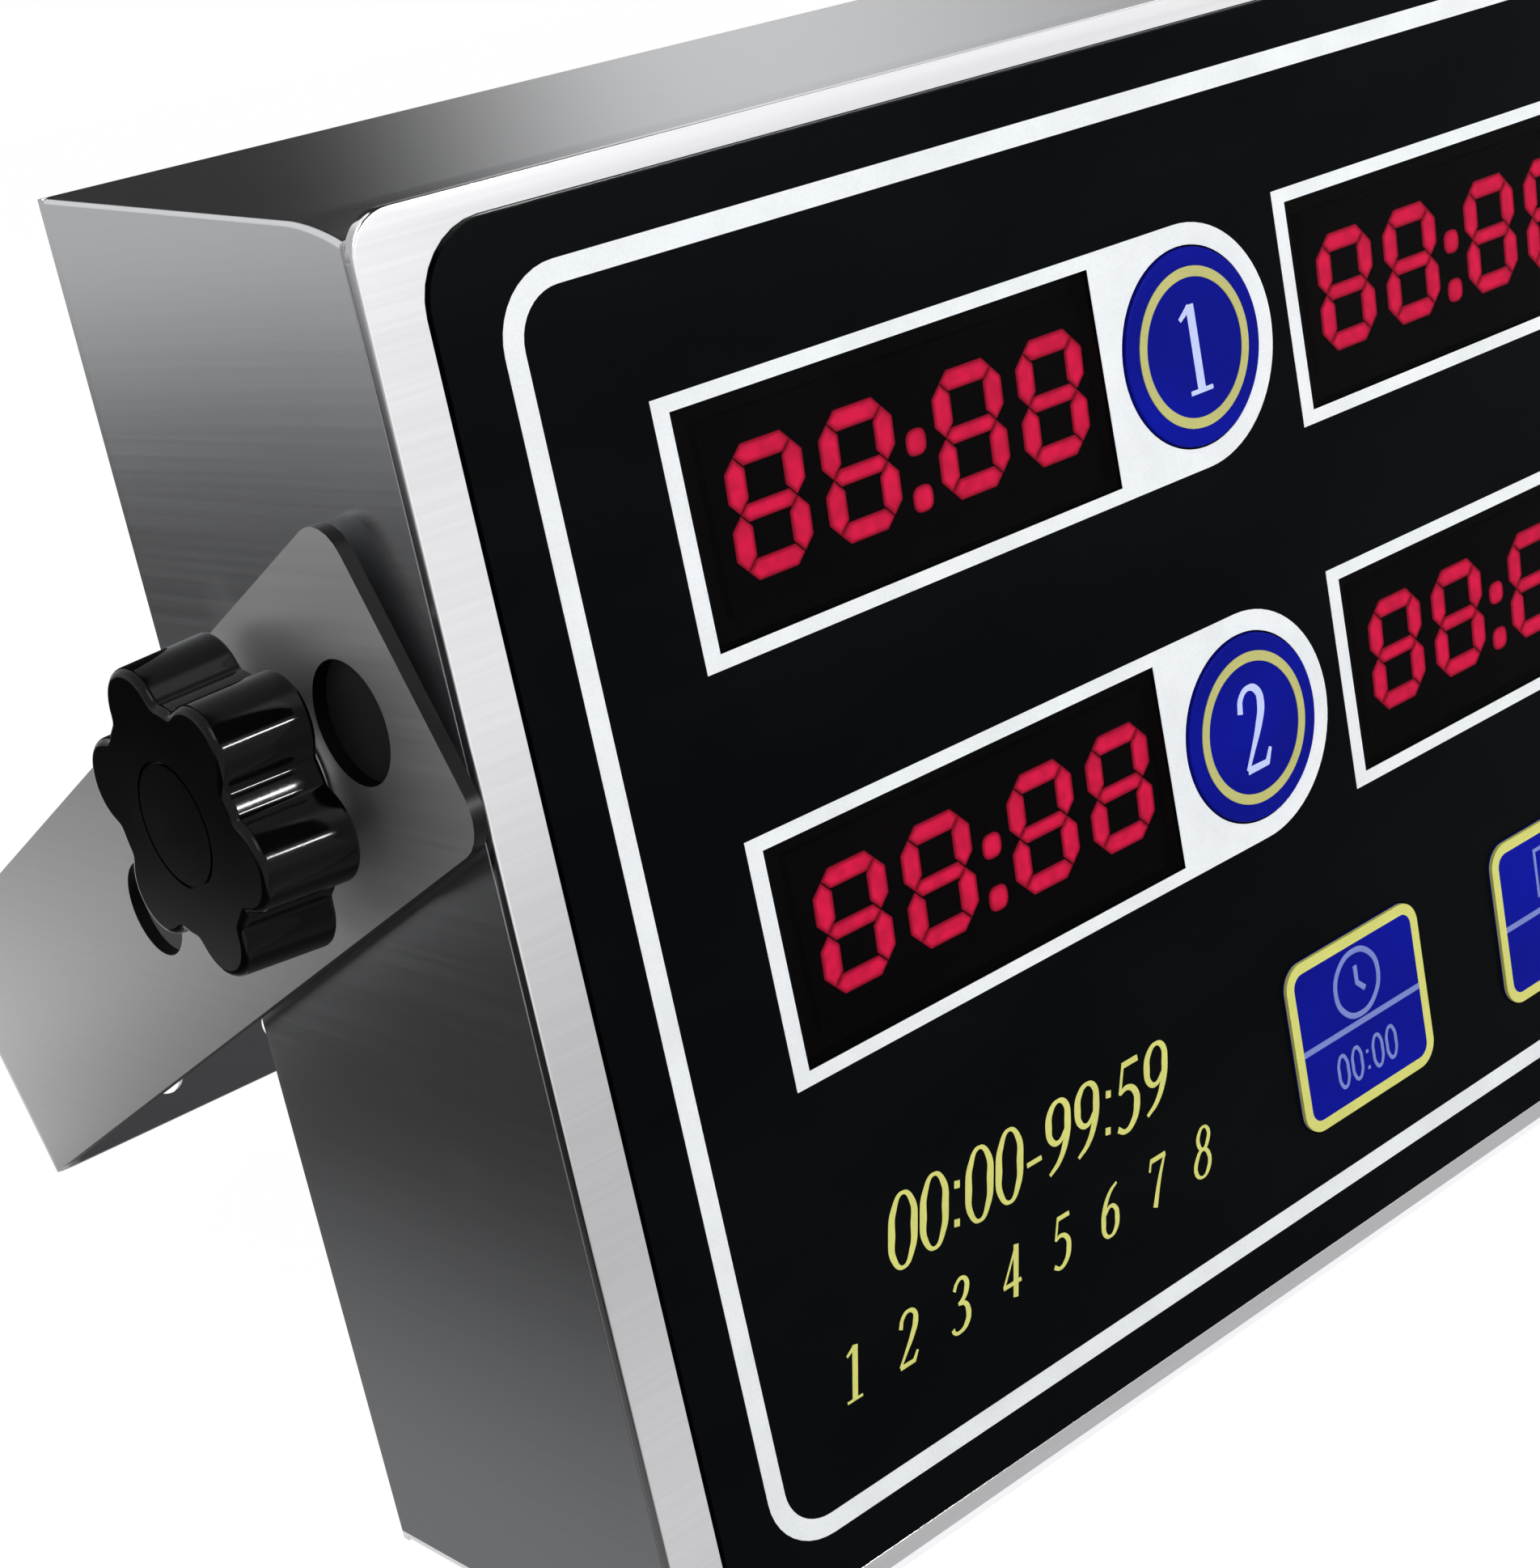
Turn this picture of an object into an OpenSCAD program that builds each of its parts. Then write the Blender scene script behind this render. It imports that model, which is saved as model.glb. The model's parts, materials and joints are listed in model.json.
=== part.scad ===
// Multi-channel kitchen timer in a folded steel case that hangs in a U-shaped bracket.
// Millimetres, +Z up, front panel towards -Y, origin in the middle of the case's underside.

/* [Channels] */
// Width of a display module
module_w = 52.6; // [40:0.1:60]
// Height of a display module
module_h = 19; // [14:0.1:24]
// Depth of a display module
module_depth = 8; // [6.4:0.1:12]
// Window border at the left of a display module
window_border_left = 4; // [1:0.1:6]
// Window border at the right of a display module
window_border_right = 0.4; // [0.4:0.1:4]
// Window border above and below a display module
window_border_z = 2.3; // [1:0.1:6]
// Diameter of a channel key
channel_key_d = 22; // [16:0.1:28]
// Space between a window and its key
key_gap = 3; // [2:0.1:10]
// Space between a channel key and the next window
column_gap = 7.3; // [4:0.1:14]
// Space between the two rows of windows
row_gap = 20.1; // [8:0.1:30]

/* [Function keys] */
// Width of a function key
function_key_w = 25; // [20:0.1:28]
// Height of a function key
function_key_h = 21.8; // [16:0.1:26]
// Corner radius of a function key
function_key_corner = 3.2; // [1.5:0.1:6]
// Space between two function keys
function_gap = 15; // [11:0.1:18]
// Distance from the last function key to the right edge of the panel
function_right = 38.5; // [22:0.1:50]
// Space between the lower windows and the function keys
function_drop = 17.6; // [6:0.1:30]

/* [Keys] */
// How far a key stands out of the panel
key_proud = 0.5; // [0.4:0.05:1.2]
// How far a key can be pressed
key_travel = 0.4; // [0.2:0.05:0.8]
// Width of the lip that holds a key behind the panel
key_lip = 1.5; // [1:0.1:2]
// Thickness of that lip
key_lip_t = 1.1; // [0.6:0.1:1.2]
// Length of a key's stem
stem_len = 1; // [0.6:0.1:2]
// Diameter of a key's stem
stem_d = 5; // [4.2:0.1:8]
// Diameter of the plunger at the end of the stem
plunger_d = 3.5; // [2.5:0.1:4]
// How deep the plunger reaches into its switch at rest
plunger_depth = 1; // [0.6:0.1:1.5]

/* [Panel] */
// Panel border beside the outer windows and keys
panel_side = 22.8; // [17:0.1:40]
// Panel border above the upper windows
panel_top = 21.7; // [17:0.1:40]
// Panel border below the function keys
panel_bottom = 14.4; // [13:0.1:30]
// Corner radius of the panel
panel_corner = 7.5; // [3:0.1:10]
// Thickness of the panel's border
panel_t = 1.7; // [1.2:0.1:3]
// How far the panel stands out of the frame
panel_proud = 0.2; // [0.1:0.05:0.6]
// Thickness of a display lens
lens_t = 1.5; // [1:0.1:2]
// How far a lens sits below the panel's face
lens_recess = 0.2; // [0:0.05:0.5]

/* [Front frame] */
// Frame width at the left and right
bezel_side = 6.2; // [4:0.1:12]
// Frame width at the top
bezel_top = 2.8; // [2.4:0.1:6]
// Frame width at the bottom
bezel_bottom = 3.2; // [2:0.1:8]
// Corner radius of the frame
bezel_corner = 4.2; // [1:0.1:6]

/* [Case] */
// Free depth between the main board and the power supply
board_room = 9.2; // [5:0.1:30]
// Sheet thickness of the case
sheet_t = 1; // [0.8:0.1:1.5]
// How far the frame stands above the front edge of the case's top
bezel_lip = 2.1; // [1.6:0.1:3]
// Slope of the top, rising to the rear
top_slope = 5.6; // [2:0.1:10]
// Radius of the roll at the top's front edge
roll_r = 24; // [18:0.5:40]
// Length of that roll
roll_len = 8; // [4:0.1:12]
// Width of the case's inward flanges
flange_w = 10; // [8:0.1:11]
// Thickness of the rear cover
cover_t = 1; // [0.8:0.1:2]

/* [Carrier and main board] */
// Thickness of the carrier plate
carrier_t = 1.2; // [1:0.1:2]
// How far the carrier plate laps the case's front flange
carrier_lap = 8; // [7:0.1:8]
// Border between the edges of carrier plate and main board
board_border = 3; // [2:0.1:4]
// Thickness of the boards
board_t = 1.6; // [1:0.1:2]
// Side of a push switch
switch_w = 12; // [8:0.1:15]
// Diameter of a board standoff
standoff_d = 6; // [5:0.1:7]
// Width of the controller chip
chip_w = 28; // [10:0.5:40]
// Thickness of the controller chip
chip_t = 3; // [1:0.1:4]

/* [Power supply] */
// Width of the power board
power_w = 104; // [96:1:130]
// Height of the power board
power_h = 64; // [58:1:70]
// Distance from the case's middle to the middle of the power board
power_x = 70; // [60:1:80]
// Height of the middle of the power board above the underside
power_z = 70; // [50:1:80]
// Length of the power board's standoffs
power_standoff = 8; // [5:0.1:9]
// Width of the transformer core
core_w = 42; // [34:0.5:48]
// Height of the transformer core
core_h = 36; // [30:0.5:40]
// Thickness of the transformer core
core_d = 14; // [10:0.5:15]
// How far the winding stands out at each side of the core
coil_bulge = 5; // [3:0.1:6]
// Diameter of a filter capacitor
capacitor_d = 16; // [10:0.5:18]
// Height of a filter capacitor
capacitor_h = 22; // [15:0.5:24]
// Space between the two filter capacitors
capacitor_gap = 4; // [1:0.5:8]
// Width of the ribbon between the boards
ribbon_w = 16; // [8:0.5:20]
// How far the ribbon sags
ribbon_sag = 8; // [4:0.5:12]
// Thickness of the ribbon
ribbon_t = 1; // [0.6:0.1:1.5]

/* [Sounder and inlet] */
// Diameter of the sounder
buzzer_d = 32; // [24:0.5:40]
// Height of the sounder
buzzer_h = 11; // [6:0.5:14]
// Diameter of a hole in the sounder's grille
grille_hole_d = 2.4; // [1.5:0.1:3]
// Distance between the holes of the grille
grille_pitch = 4.5; // [3.6:0.1:6]
// Diameter of the gland's threaded neck
gland_d = 12; // [10:0.1:16]
// Bore of the gland for the supply lead
gland_bore_d = 7; // [5:0.1:8]
// Height of the gland above the underside
gland_z = 24; // [22:0.5:30]
// Distance from the gland to the case's right side
gland_x = 40; // [30:0.5:60]
// Height and width of the gland's collar
gland_collar_t = 3; // [2:0.1:4]
// Thickness of the gland's nut
gland_nut_t = 5; // [3:0.1:8]
// How far the gland stands out of the rear cover
gland_out = 12; // [8:0.5:16]

/* [Bracket] */
// Angle of the bracket below the horizontal as it stands
bracket_tilt = 26.5; // [0:0.5:60]
// Width of the bracket strip
strip_w = 33.4; // [28:0.1:44]
// Thickness of the bracket strip
strip_t = 1.5; // [1.2:0.1:2.5]
// Inner radius of the bracket's bends
bend_r = 3; // [1.5:0.1:8]
// Corner radius at the front end of an arm
arm_corner = 4.5; // [2:0.1:10]
// Distance from the front arm hole to the front end of the arm
arm_end = 6.1; // [5:0.1:20]
// Space between the bracket's base and the case's farthest corner as it swings
swing_gap = 9.6; // [6:0.1:30]
// Space between the case and an arm
arm_gap = 1.2; // [1:0.1:3]
// Diameter of the front hole in an arm
arm_hole_d = 12.5; // [8:0.1:16]
// Diameter of the rear hole in an arm
rear_hole_d = 11; // [6:0.1:16]
// Rim of a pad round the front arm hole
pad_rim = 2; // [1:0.1:4]
// Web between the pivot hole and the front arm hole
hole_web = 4.8; // [2.4:0.1:6]
// Distance from the pivot to the rear arm hole
rear_hole_at = 43.5; // [30:0.5:70]
// Diameter of the screw holes in the bracket's base
base_hole_d = 5; // [3:0.1:6]
// Distance from the arm's face to the first screw hole of the base
base_hole_first = 18; // [12:0.5:30]
// Distance between the two screw holes at each end of the base
base_hole_pitch = 18; // [10:0.5:40]
// Distance from the middle of the screw holes to the strip's lower edge
base_hole_edge = 5.7; // [4.5:0.1:16]

/* [Pivots] */
// Height of the pivots above the underside
pivot_h = 96.6; // [70:0.1:110]
// Distance of the pivots behind the front frame
pivot_back = 29; // [24:0.1:34]
// Wall of a pivot bush round its stud
bush_wall = 1.4; // [1:0.1:2.5]
// Width of the bush's flange
bush_shoulder = 2; // [1:0.1:2.2]
// Diameter of a knob's stud
stud_d = 6; // [4:0.1:6.5]
// Length of the stud inside the case
stud_in = 6; // [3:0.1:10]
// Thickness of a knob's washer
washer_t = 1; // [0.6:0.1:2]
// Diameter of a knob's washer
washer_d = 14; // [12:0.1:18]
// Length of a knob's hub
hub_len = 1.9; // [1:0.1:5]
// Diameter of a knob's hub
hub_d = 15; // [12:0.1:20]
// Thickness of a knob's head
head_t = 10.1; // [8:0.1:14]
// Radius of a knob's head at the tips of its lobes
lobe_tip_r = 15.9; // [15:0.1:20]
// Radius of a lobe
lobe_r = 4.9; // [3.8:0.1:5.4]
// Radius of the head between the lobes
lobe_root_r = 12.5; // [11.5:0.1:13.5]
// Thickness of the head in front of the stud
stud_cover = 3.4; // [1.5:0.1:6]

/* [Fasteners and clearances] */
// Diameter of a screw's shank
screw_d = 3; // [2.5:0.1:3.2]
// Diameter of a screw's head
screw_head_d = 5.6; // [5:0.1:6]
// Height of a screw's head
screw_head_h = 2; // [1.2:0.1:2.4]
// Space round a screw in a tapped hole
thread_gap = 0.05; // [0.02:0.01:0.08]
// Space round a screw in a plain hole
screw_gap = 0.25; // [0.15:0.05:0.4]
// Space between parts that are fitted together
fit_gap = 0.2; // [0.1:0.05:0.3]
// Space between parts that move past each other
move_gap = 0.3; // [0.2:0.05:0.4]
// Radial play of a pivot
pivot_play = 0.05; // [0.02:0.01:0.1]

/* [Hidden] */
$fn = 96;
// Small overlap that keeps cuts clean
cut = 1;
// Contact play of a key's lip behind the panel and of a stud in its knob
seat_play = 0.05;
column_count = 4;
row_count = 2;
function_count = 7;
lobe_count = 6;
// Turn of the knobs as they stand, so that one lobe points up and back
lobe_turn = 15;

// Panel and case sizes that follow from what the panel holds
window_w = module_w + window_border_left + window_border_right;
window_h = module_h + 2 * window_border_z;
window_to_key = key_gap + channel_key_d / 2;
channel_w = window_w + window_to_key + channel_key_d / 2;
column_pitch = channel_w + column_gap;
row_pitch = window_h + row_gap;
panel_w = 2 * panel_side + channel_w + (column_count - 1) * column_pitch;
panel_h = panel_top + window_h + (row_count - 1) * row_pitch + function_drop + function_key_h + panel_bottom;
case_w = panel_w + 2 * fit_gap + 2 * bezel_side;
case_h = panel_h + 2 * fit_gap + bezel_bottom + bezel_top;
panel_z = bezel_bottom + fit_gap + panel_h / 2;

// Planes along the depth, from the front to the rear
board_back_depth = lens_recess + lens_t + fit_gap + module_depth + board_t - panel_proud;
supply_h = max(core_d + 2 * coil_bulge, capacitor_h);
case_d = board_back_depth + board_room + supply_h + board_t + power_standoff + cover_t;
front_y = -case_d / 2;
panel_front_y = front_y - panel_proud;
shell_front_y = panel_front_y + panel_t;
carrier_y = shell_front_y + sheet_t;
carrier_back_y = carrier_y + carrier_t;
lens_y = panel_front_y + lens_recess;
module_y = lens_y + lens_t + fit_gap;
board_y = module_y + module_depth;
board_back_y = board_y + board_t;
lip_y = carrier_y + seat_play;
lip_back_y = lip_y + key_lip_t;
stem_end_y = lip_back_y + stem_len;
switch_y = stem_end_y + key_travel + move_gap;
rear_y = case_d / 2;
cover_y = rear_y - cover_t;

// Top of the case: a roll that runs into a straight slope
shell_front_h = case_h - bezel_lip;
roll_angle = asin(roll_len / roll_r + sin(top_slope));
roll_y = shell_front_y + roll_r * sin(roll_angle);
roll_z = shell_front_h - roll_r * cos(roll_angle);
slope_y = roll_y - roll_r * sin(top_slope);
slope_z = roll_z + roll_r * cos(top_slope);
function top_at(y) = slope_z + (y - slope_y) * tan(top_slope);
rear_h = top_at(cover_y);

// Bracket and pivots
bush_d = stud_d + 2 * pivot_play + 2 * bush_wall;
bush_flange_d = bush_d + 2 * bush_shoulder;
front_hole_at = bush_d / 2 + pivot_play + hole_web + arm_hole_d / 2;
arm_front = front_hole_at + arm_hole_d / 2 + arm_end;
base_hole_drop = strip_w / 2 - base_hole_edge;
stud_seat = head_t - stud_cover;
pivot_y = front_y + pivot_back;
function reach_to(y, z) = norm([y - pivot_y, z - pivot_h]);
corner_reach = max(reach_to(front_y, 0), reach_to(rear_y, 0),
                   reach_to(front_y, case_h), reach_to(rear_y, rear_h));
base_in = corner_reach + swing_gap;
base_out = base_in + strip_t;
side_x = case_w / 2;
arm_in_x = side_x + arm_gap;
arm_out_x = arm_in_x + strip_t;
bush_flange_t = arm_gap - move_gap;
washer_x = arm_out_x + fit_gap;
hub_x = washer_x + washer_t;
head_x = hub_x + hub_len;
knob_end_x = head_x + head_t;
pad_t = arm_gap / 2;
pad_r = arm_hole_d / 2 + pad_rim;

// Carrier plate and main board
opening_w = panel_w - 2 * flange_w;
opening_h = panel_h - 2 * flange_w;
carrier_w = opening_w + 2 * carrier_lap;
carrier_h = opening_h + 2 * carrier_lap;
board_w = carrier_w - 2 * board_border;
board_h = carrier_h - 2 * board_border;
lap_middle = carrier_lap / 2;

// Places on the panel: [x, z]
panel_left_x = -panel_w / 2;
panel_top_z = panel_z + panel_h / 2;
function column_of(channel) = floor((channel - 1) / row_count);
function row_of(channel) = (channel - 1) % row_count;
function row_z(row) = panel_top_z - panel_top - window_h / 2 - row * row_pitch;
function window_at(channel) =
    [panel_left_x + panel_side + column_of(channel) * column_pitch + window_w / 2, row_z(row_of(channel))];
function module_at(channel) = window_at(channel) + [(window_border_left - window_border_right) / 2, 0];
function channel_key_at(channel) = window_at(channel) + [window_w / 2 + window_to_key, 0];
function_pitch = function_key_w + function_gap;
function_z = panel_z - panel_h / 2 + panel_bottom + function_key_h / 2;
function function_key_at(key) =
    [panel_w / 2 - function_right - function_key_w / 2 - (function_count - key) * function_pitch, function_z];
channels = [for (channel = [1 : column_count * row_count]) channel];
function_keys = [for (key = [1 : function_count]) key];
key_places = concat([for (channel = channels) channel_key_at(channel)],
                    [for (key = function_keys) function_key_at(key)]);

// Places of the fasteners: [x, z]
standoff_x = [-board_w / 2 + standoff_d, function_key_at(2)[0] + function_pitch / 2,
              function_key_at(5)[0] + function_pitch / 2, board_w / 2 - standoff_d];
standoff_places = [for (x = standoff_x) for (z = [function_z, panel_z + board_h / 2 - standoff_d]) [x, z]];
carrier_screw_places = [for (x = [-1, -1 / 3, 1 / 3, 1]) for (side = [-1, 1])
    [x * (carrier_w / 2 - lap_middle), panel_z + side * (carrier_h / 2 - lap_middle)]];
cover_flange_middle = sheet_t + flange_w / 2;
cover_screw_places = [for (x = [-1, 0, 1]) for (z = [cover_flange_middle, rear_h - cover_flange_middle])
    [x * (case_w / 2 - cover_flange_middle), z]];
power_screw_places = [for (x = [-1, 1]) for (z = [-1, 1])
    [power_x + x * (power_w / 2 - standoff_d), power_z + z * (power_h / 2 - standoff_d)]];

// Power supply, sounder and inlet
power_back_y = cover_y - power_standoff;
power_y = power_back_y - board_t;
core_at = [power_x - power_w / 4, power_z];
capacitor_places = [for (side = [-1, 1])
    [power_x + power_w / 4, power_z + side * (capacitor_d + capacitor_gap) / 2]];
ribbon_at = [power_x + 2, power_z - power_h / 2 + standoff_d];
buzzer_at = [-case_w / 4, power_z];
gland_at = [case_w / 2 - gland_x, gland_z];
gland_nut_d = gland_d + 2 * gland_collar_t;

// A flat shape in x and z, made solid from depth y0 to depth y1
module along_y(y0, y1) {
    translate([0, y1, 0]) rotate([90, 0, 0]) linear_extrude(y1 - y0) children();
}

// A flat shape in y and z, made solid from x0 to x1
module along_x(x0, x1) {
    translate([x0, 0, 0]) rotate([90, 0, 90]) linear_extrude(x1 - x0) children();
}

// A rectangle with round corners about the middle
module round_rect(w, h, r) {
    square([w - 2 * r, h], center = true);
    square([w, h - 2 * r], center = true);
    for (x = [-1, 1]) for (z = [-1, 1]) translate([x * (w / 2 - r), z * (h / 2 - r)]) circle(r);
}

// What is drawn about a pivot on the right; side -1 gives its mirror image on the left
module at_pivot(side) {
    mirror([side < 0 ? 1 : 0, 0, 0]) translate([0, pivot_y, pivot_h]) children();
}

// Screws with their heads at depth y; way is the direction in which the shanks point
module screws(places, y, length, way) {
    for (place = places) translate([place[0], y, place[1]]) rotate([-way * 90, 0, 0]) {
        cylinder(d = screw_d, h = length);
        translate([0, 0, -screw_head_h]) cylinder(d = screw_head_d, h = screw_head_h);
    }
}

// Side view of the case, drawn inset from its outer faces
module case_side(inset, y0, y1) {
    difference() {
        polygon([[y0, inset], [y1, inset], [y1, top_at(y1) - inset / cos(top_slope)],
                 [y0, top_at(y0) - inset / cos(top_slope)]]);
        difference() {
            translate([y0 - cut, roll_z]) square([slope_y - y0 + cut, 2 * roll_r]);
            translate([roll_y, roll_z]) circle(roll_r - inset);
        }
    }
}

module housing_shell() {
    color("silver") difference() {
        along_x(-side_x, side_x) case_side(0, shell_front_y, cover_y);
        along_x(-side_x + sheet_t, side_x - sheet_t)
            case_side(sheet_t, shell_front_y + sheet_t, cover_y - sheet_t);
        along_y(shell_front_y - cut, shell_front_y + sheet_t + cut) translate([0, panel_z])
            round_rect(opening_w, opening_h, panel_corner);
        along_y(cover_y - sheet_t - cut, cover_y + cut) translate([0, rear_h / 2])
            square([case_w - 2 * sheet_t - 2 * flange_w, rear_h - 2 * sheet_t - 2 * flange_w], center = true);
        along_y(shell_front_y - cut, carrier_y + cut) for (place = carrier_screw_places) translate(place)
            circle(d = screw_d + 2 * thread_gap);
        along_y(cover_y - sheet_t - cut, cover_y + cut) for (place = cover_screw_places) translate(place)
            circle(d = screw_d + 2 * thread_gap);
        for (side = [-1, 1]) at_pivot(side) along_x(side_x - sheet_t - cut, side_x + cut)
            circle(d = bush_d + 2 * pivot_play);
    }
}

module bezel_frame() {
    color("white") along_y(front_y, shell_front_y) difference() {
        translate([0, case_h / 2]) round_rect(case_w, case_h, bezel_corner);
        translate([0, panel_z])
            round_rect(panel_w + 2 * fit_gap, panel_h + 2 * fit_gap, panel_corner + fit_gap);
    }
}

module rear_cover() {
    color("silver") along_y(cover_y, rear_y) difference() {
        translate([0, rear_h / 2]) square([case_w, rear_h], center = true);
        for (place = cover_screw_places) translate(place) circle(d = screw_d + 2 * screw_gap);
        translate(gland_at) circle(d = gland_d + 2 * fit_gap);
        translate(buzzer_at) {
            circle(d = grille_hole_d);
            for (ring = [1, 2]) for (hole = [1 : 6 * ring])
                rotate(hole * 60 / ring) translate([ring * grille_pitch, 0]) circle(d = grille_hole_d);
        }
    }
}

module cover_screws() {
    color("gainsboro") screws(cover_screw_places, rear_y, cover_t + sheet_t, -1);
}

// Outline of a function key, grown by a margin all round
module function_key_face(margin) {
    round_rect(function_key_w + 2 * margin, function_key_h + 2 * margin, function_key_corner + margin);
}

module front_panel() {
    color([0.03, 0.04, 0.05]) difference() {
        union() {
            along_y(panel_front_y, shell_front_y) translate([0, panel_z])
                round_rect(panel_w, panel_h, panel_corner);
            along_y(shell_front_y, carrier_y) translate([0, panel_z])
                round_rect(opening_w - 2 * fit_gap, opening_h - 2 * fit_gap, panel_corner - fit_gap);
        }
        along_y(panel_front_y - cut, carrier_y + cut) {
            for (channel = channels) translate(window_at(channel))
                square([window_w, window_h], center = true);
            for (channel = channels) translate(channel_key_at(channel)) circle(d = channel_key_d);
            for (key = function_keys) translate(function_key_at(key))
                function_key_face(0);
        }
    }
}

module display_lenses() {
    color([0.12, 0.01, 0.02]) along_y(lens_y, lens_y + lens_t) for (channel = channels)
        translate(window_at(channel)) square([window_w - 2 * fit_gap, window_h - 2 * fit_gap], center = true);
}

module display_module(channel) {
    color("dimgray") along_y(module_y, board_y) translate(module_at(channel))
        square([module_w, module_h], center = true);
}

// Stem and plunger behind a key
module key_stem(place) {
    along_y(lip_y, stem_end_y) translate(place) circle(d = stem_d);
    along_y(lip_y, switch_y + plunger_depth) translate(place) circle(d = plunger_d);
}

module channel_key(channel) {
    place = channel_key_at(channel);
    color("mediumblue") {
        along_y(panel_front_y - key_proud, lip_back_y) translate(place)
            circle(d = channel_key_d - 2 * fit_gap);
        along_y(lip_y, lip_back_y) translate(place)
            circle(d = channel_key_d + 2 * key_lip);
        key_stem(place);
    }
}

module function_key(key) {
    place = function_key_at(key);
    color("mediumblue") {
        along_y(panel_front_y - key_proud, lip_back_y) translate(place)
            function_key_face(-fit_gap);
        along_y(lip_y, lip_back_y) translate(place)
            function_key_face(key_lip);
        key_stem(place);
    }
}

module carrier_plate() {
    color("lightsteelblue") along_y(carrier_y, carrier_back_y) difference() {
        translate([0, panel_z]) square([carrier_w, carrier_h], center = true);
        for (channel = channels) translate(module_at(channel))
            square([module_w + 2 * fit_gap, module_h + 2 * fit_gap], center = true);
        for (channel = channels) translate(channel_key_at(channel))
            circle(d = channel_key_d + 2 * key_lip + 2 * move_gap);
        for (key = function_keys) translate(function_key_at(key))
            function_key_face(key_lip + move_gap);
        for (place = carrier_screw_places) translate(place) circle(d = screw_d + 2 * screw_gap);
    }
}

module carrier_screws() {
    color("gainsboro") screws(carrier_screw_places, carrier_back_y, carrier_t + sheet_t, -1);
}

module main_board() {
    color("darkgreen") along_y(board_y, board_back_y) difference() {
        translate([0, panel_z]) square([board_w, board_h], center = true);
        for (place = standoff_places) translate(place) circle(d = screw_d + 2 * screw_gap);
    }
}

module board_standoffs() {
    color("goldenrod") along_y(carrier_back_y, board_y) for (place = standoff_places) translate(place)
        difference() {
            circle(d = standoff_d);
            circle(d = screw_d + 2 * thread_gap);
        }
}

module board_screws() {
    color("gainsboro") screws(standoff_places, board_back_y, board_t + (board_y - carrier_back_y) / 2, -1);
}

module controller_chip() {
    color([0.1, 0.1, 0.1]) along_y(board_back_y, board_back_y + chip_t) translate([0, panel_z])
        square([chip_w, chip_w], center = true);
}

module tact_switches() {
    bore_depth = plunger_depth + key_travel + move_gap;
    color([0.15, 0.15, 0.16]) for (place = key_places) difference() {
        along_y(switch_y, board_y) translate(place) square([switch_w, switch_w], center = true);
        along_y(switch_y - cut, switch_y + bore_depth) translate(place) circle(d = plunger_d + 2 * move_gap);
    }
}

module power_board() {
    color("darkgreen") along_y(power_y, power_back_y) difference() {
        translate([power_x, power_z]) square([power_w, power_h], center = true);
        for (place = power_screw_places) translate(place) circle(d = screw_d + 2 * screw_gap);
    }
}

module power_standoffs() {
    color("goldenrod") along_y(power_back_y, cover_y) for (place = power_screw_places) translate(place)
        difference() {
            circle(d = standoff_d);
            circle(d = screw_d + 2 * thread_gap);
        }
}

module power_screws() {
    color("gainsboro") screws(power_screw_places, power_y, board_t + power_standoff / 2, 1);
}

module transformer_core() {
    back_y = power_y - coil_bulge;
    color("dimgray") along_y(back_y - core_d, back_y) translate(core_at) difference() {
        square([core_w, core_h], center = true);
        square([core_w / 2 + 2 * fit_gap, core_h / 2 + 2 * fit_gap], center = true);
    }
}

module transformer_coil() {
    front_y = power_y - 2 * coil_bulge - core_d;
    color("peru") translate([core_at[0], 0, core_at[1]]) {
        along_y(front_y, power_y) square([core_w / 2, core_h / 2], center = true);
        for (y = [front_y, power_y - coil_bulge]) along_y(y, y + coil_bulge)
            square([core_w / 2 + coil_bulge, core_h / 2 + coil_bulge], center = true);
    }
}

module filter_capacitors() {
    color("midnightblue") along_y(power_y - capacitor_h, power_y) for (place = capacitor_places)
        translate(place) circle(d = capacitor_d);
}

module board_link() {
    middle_y = (board_back_y + power_y) / 2;
    color("lightgray") along_x(ribbon_at[0] - ribbon_w / 2, ribbon_at[0] + ribbon_w / 2) polygon([
        [board_back_y, ribbon_at[1]], [middle_y, ribbon_at[1] - ribbon_sag], [power_y, ribbon_at[1]],
        [power_y, ribbon_at[1] + ribbon_t], [middle_y, ribbon_at[1] - ribbon_sag + ribbon_t],
        [board_back_y, ribbon_at[1] + ribbon_t]]);
}

module buzzer() {
    color([0.1, 0.1, 0.1]) difference() {
        along_y(cover_y - buzzer_h, cover_y) translate(buzzer_at) circle(d = buzzer_d);
        along_y(cover_y - buzzer_h / 2, cover_y + cut) translate(buzzer_at)
            circle(r = 2 * grille_pitch + grille_hole_d);
    }
}

module cord_gland() {
    color([0.08, 0.08, 0.08]) difference() {
        union() {
            along_y(cover_y - gland_nut_t, rear_y + cut / 2) translate(gland_at) circle(d = gland_d);
            along_y(rear_y, rear_y + gland_collar_t) translate(gland_at) circle(d = gland_nut_d, $fn = 6);
            along_y(rear_y + gland_collar_t - cut / 2, rear_y + gland_out) translate(gland_at)
                circle(d = gland_d + gland_collar_t);
        }
        along_y(cover_y - gland_nut_t - cut, rear_y + gland_out + cut) translate(gland_at)
            circle(d = gland_bore_d);
    }
}

module gland_nut() {
    color([0.08, 0.08, 0.08]) along_y(cover_y - gland_nut_t, cover_y) translate(gland_at) difference() {
        circle(d = gland_nut_d, $fn = 6);
        circle(d = gland_d + 2 * thread_gap);
    }
}

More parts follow.
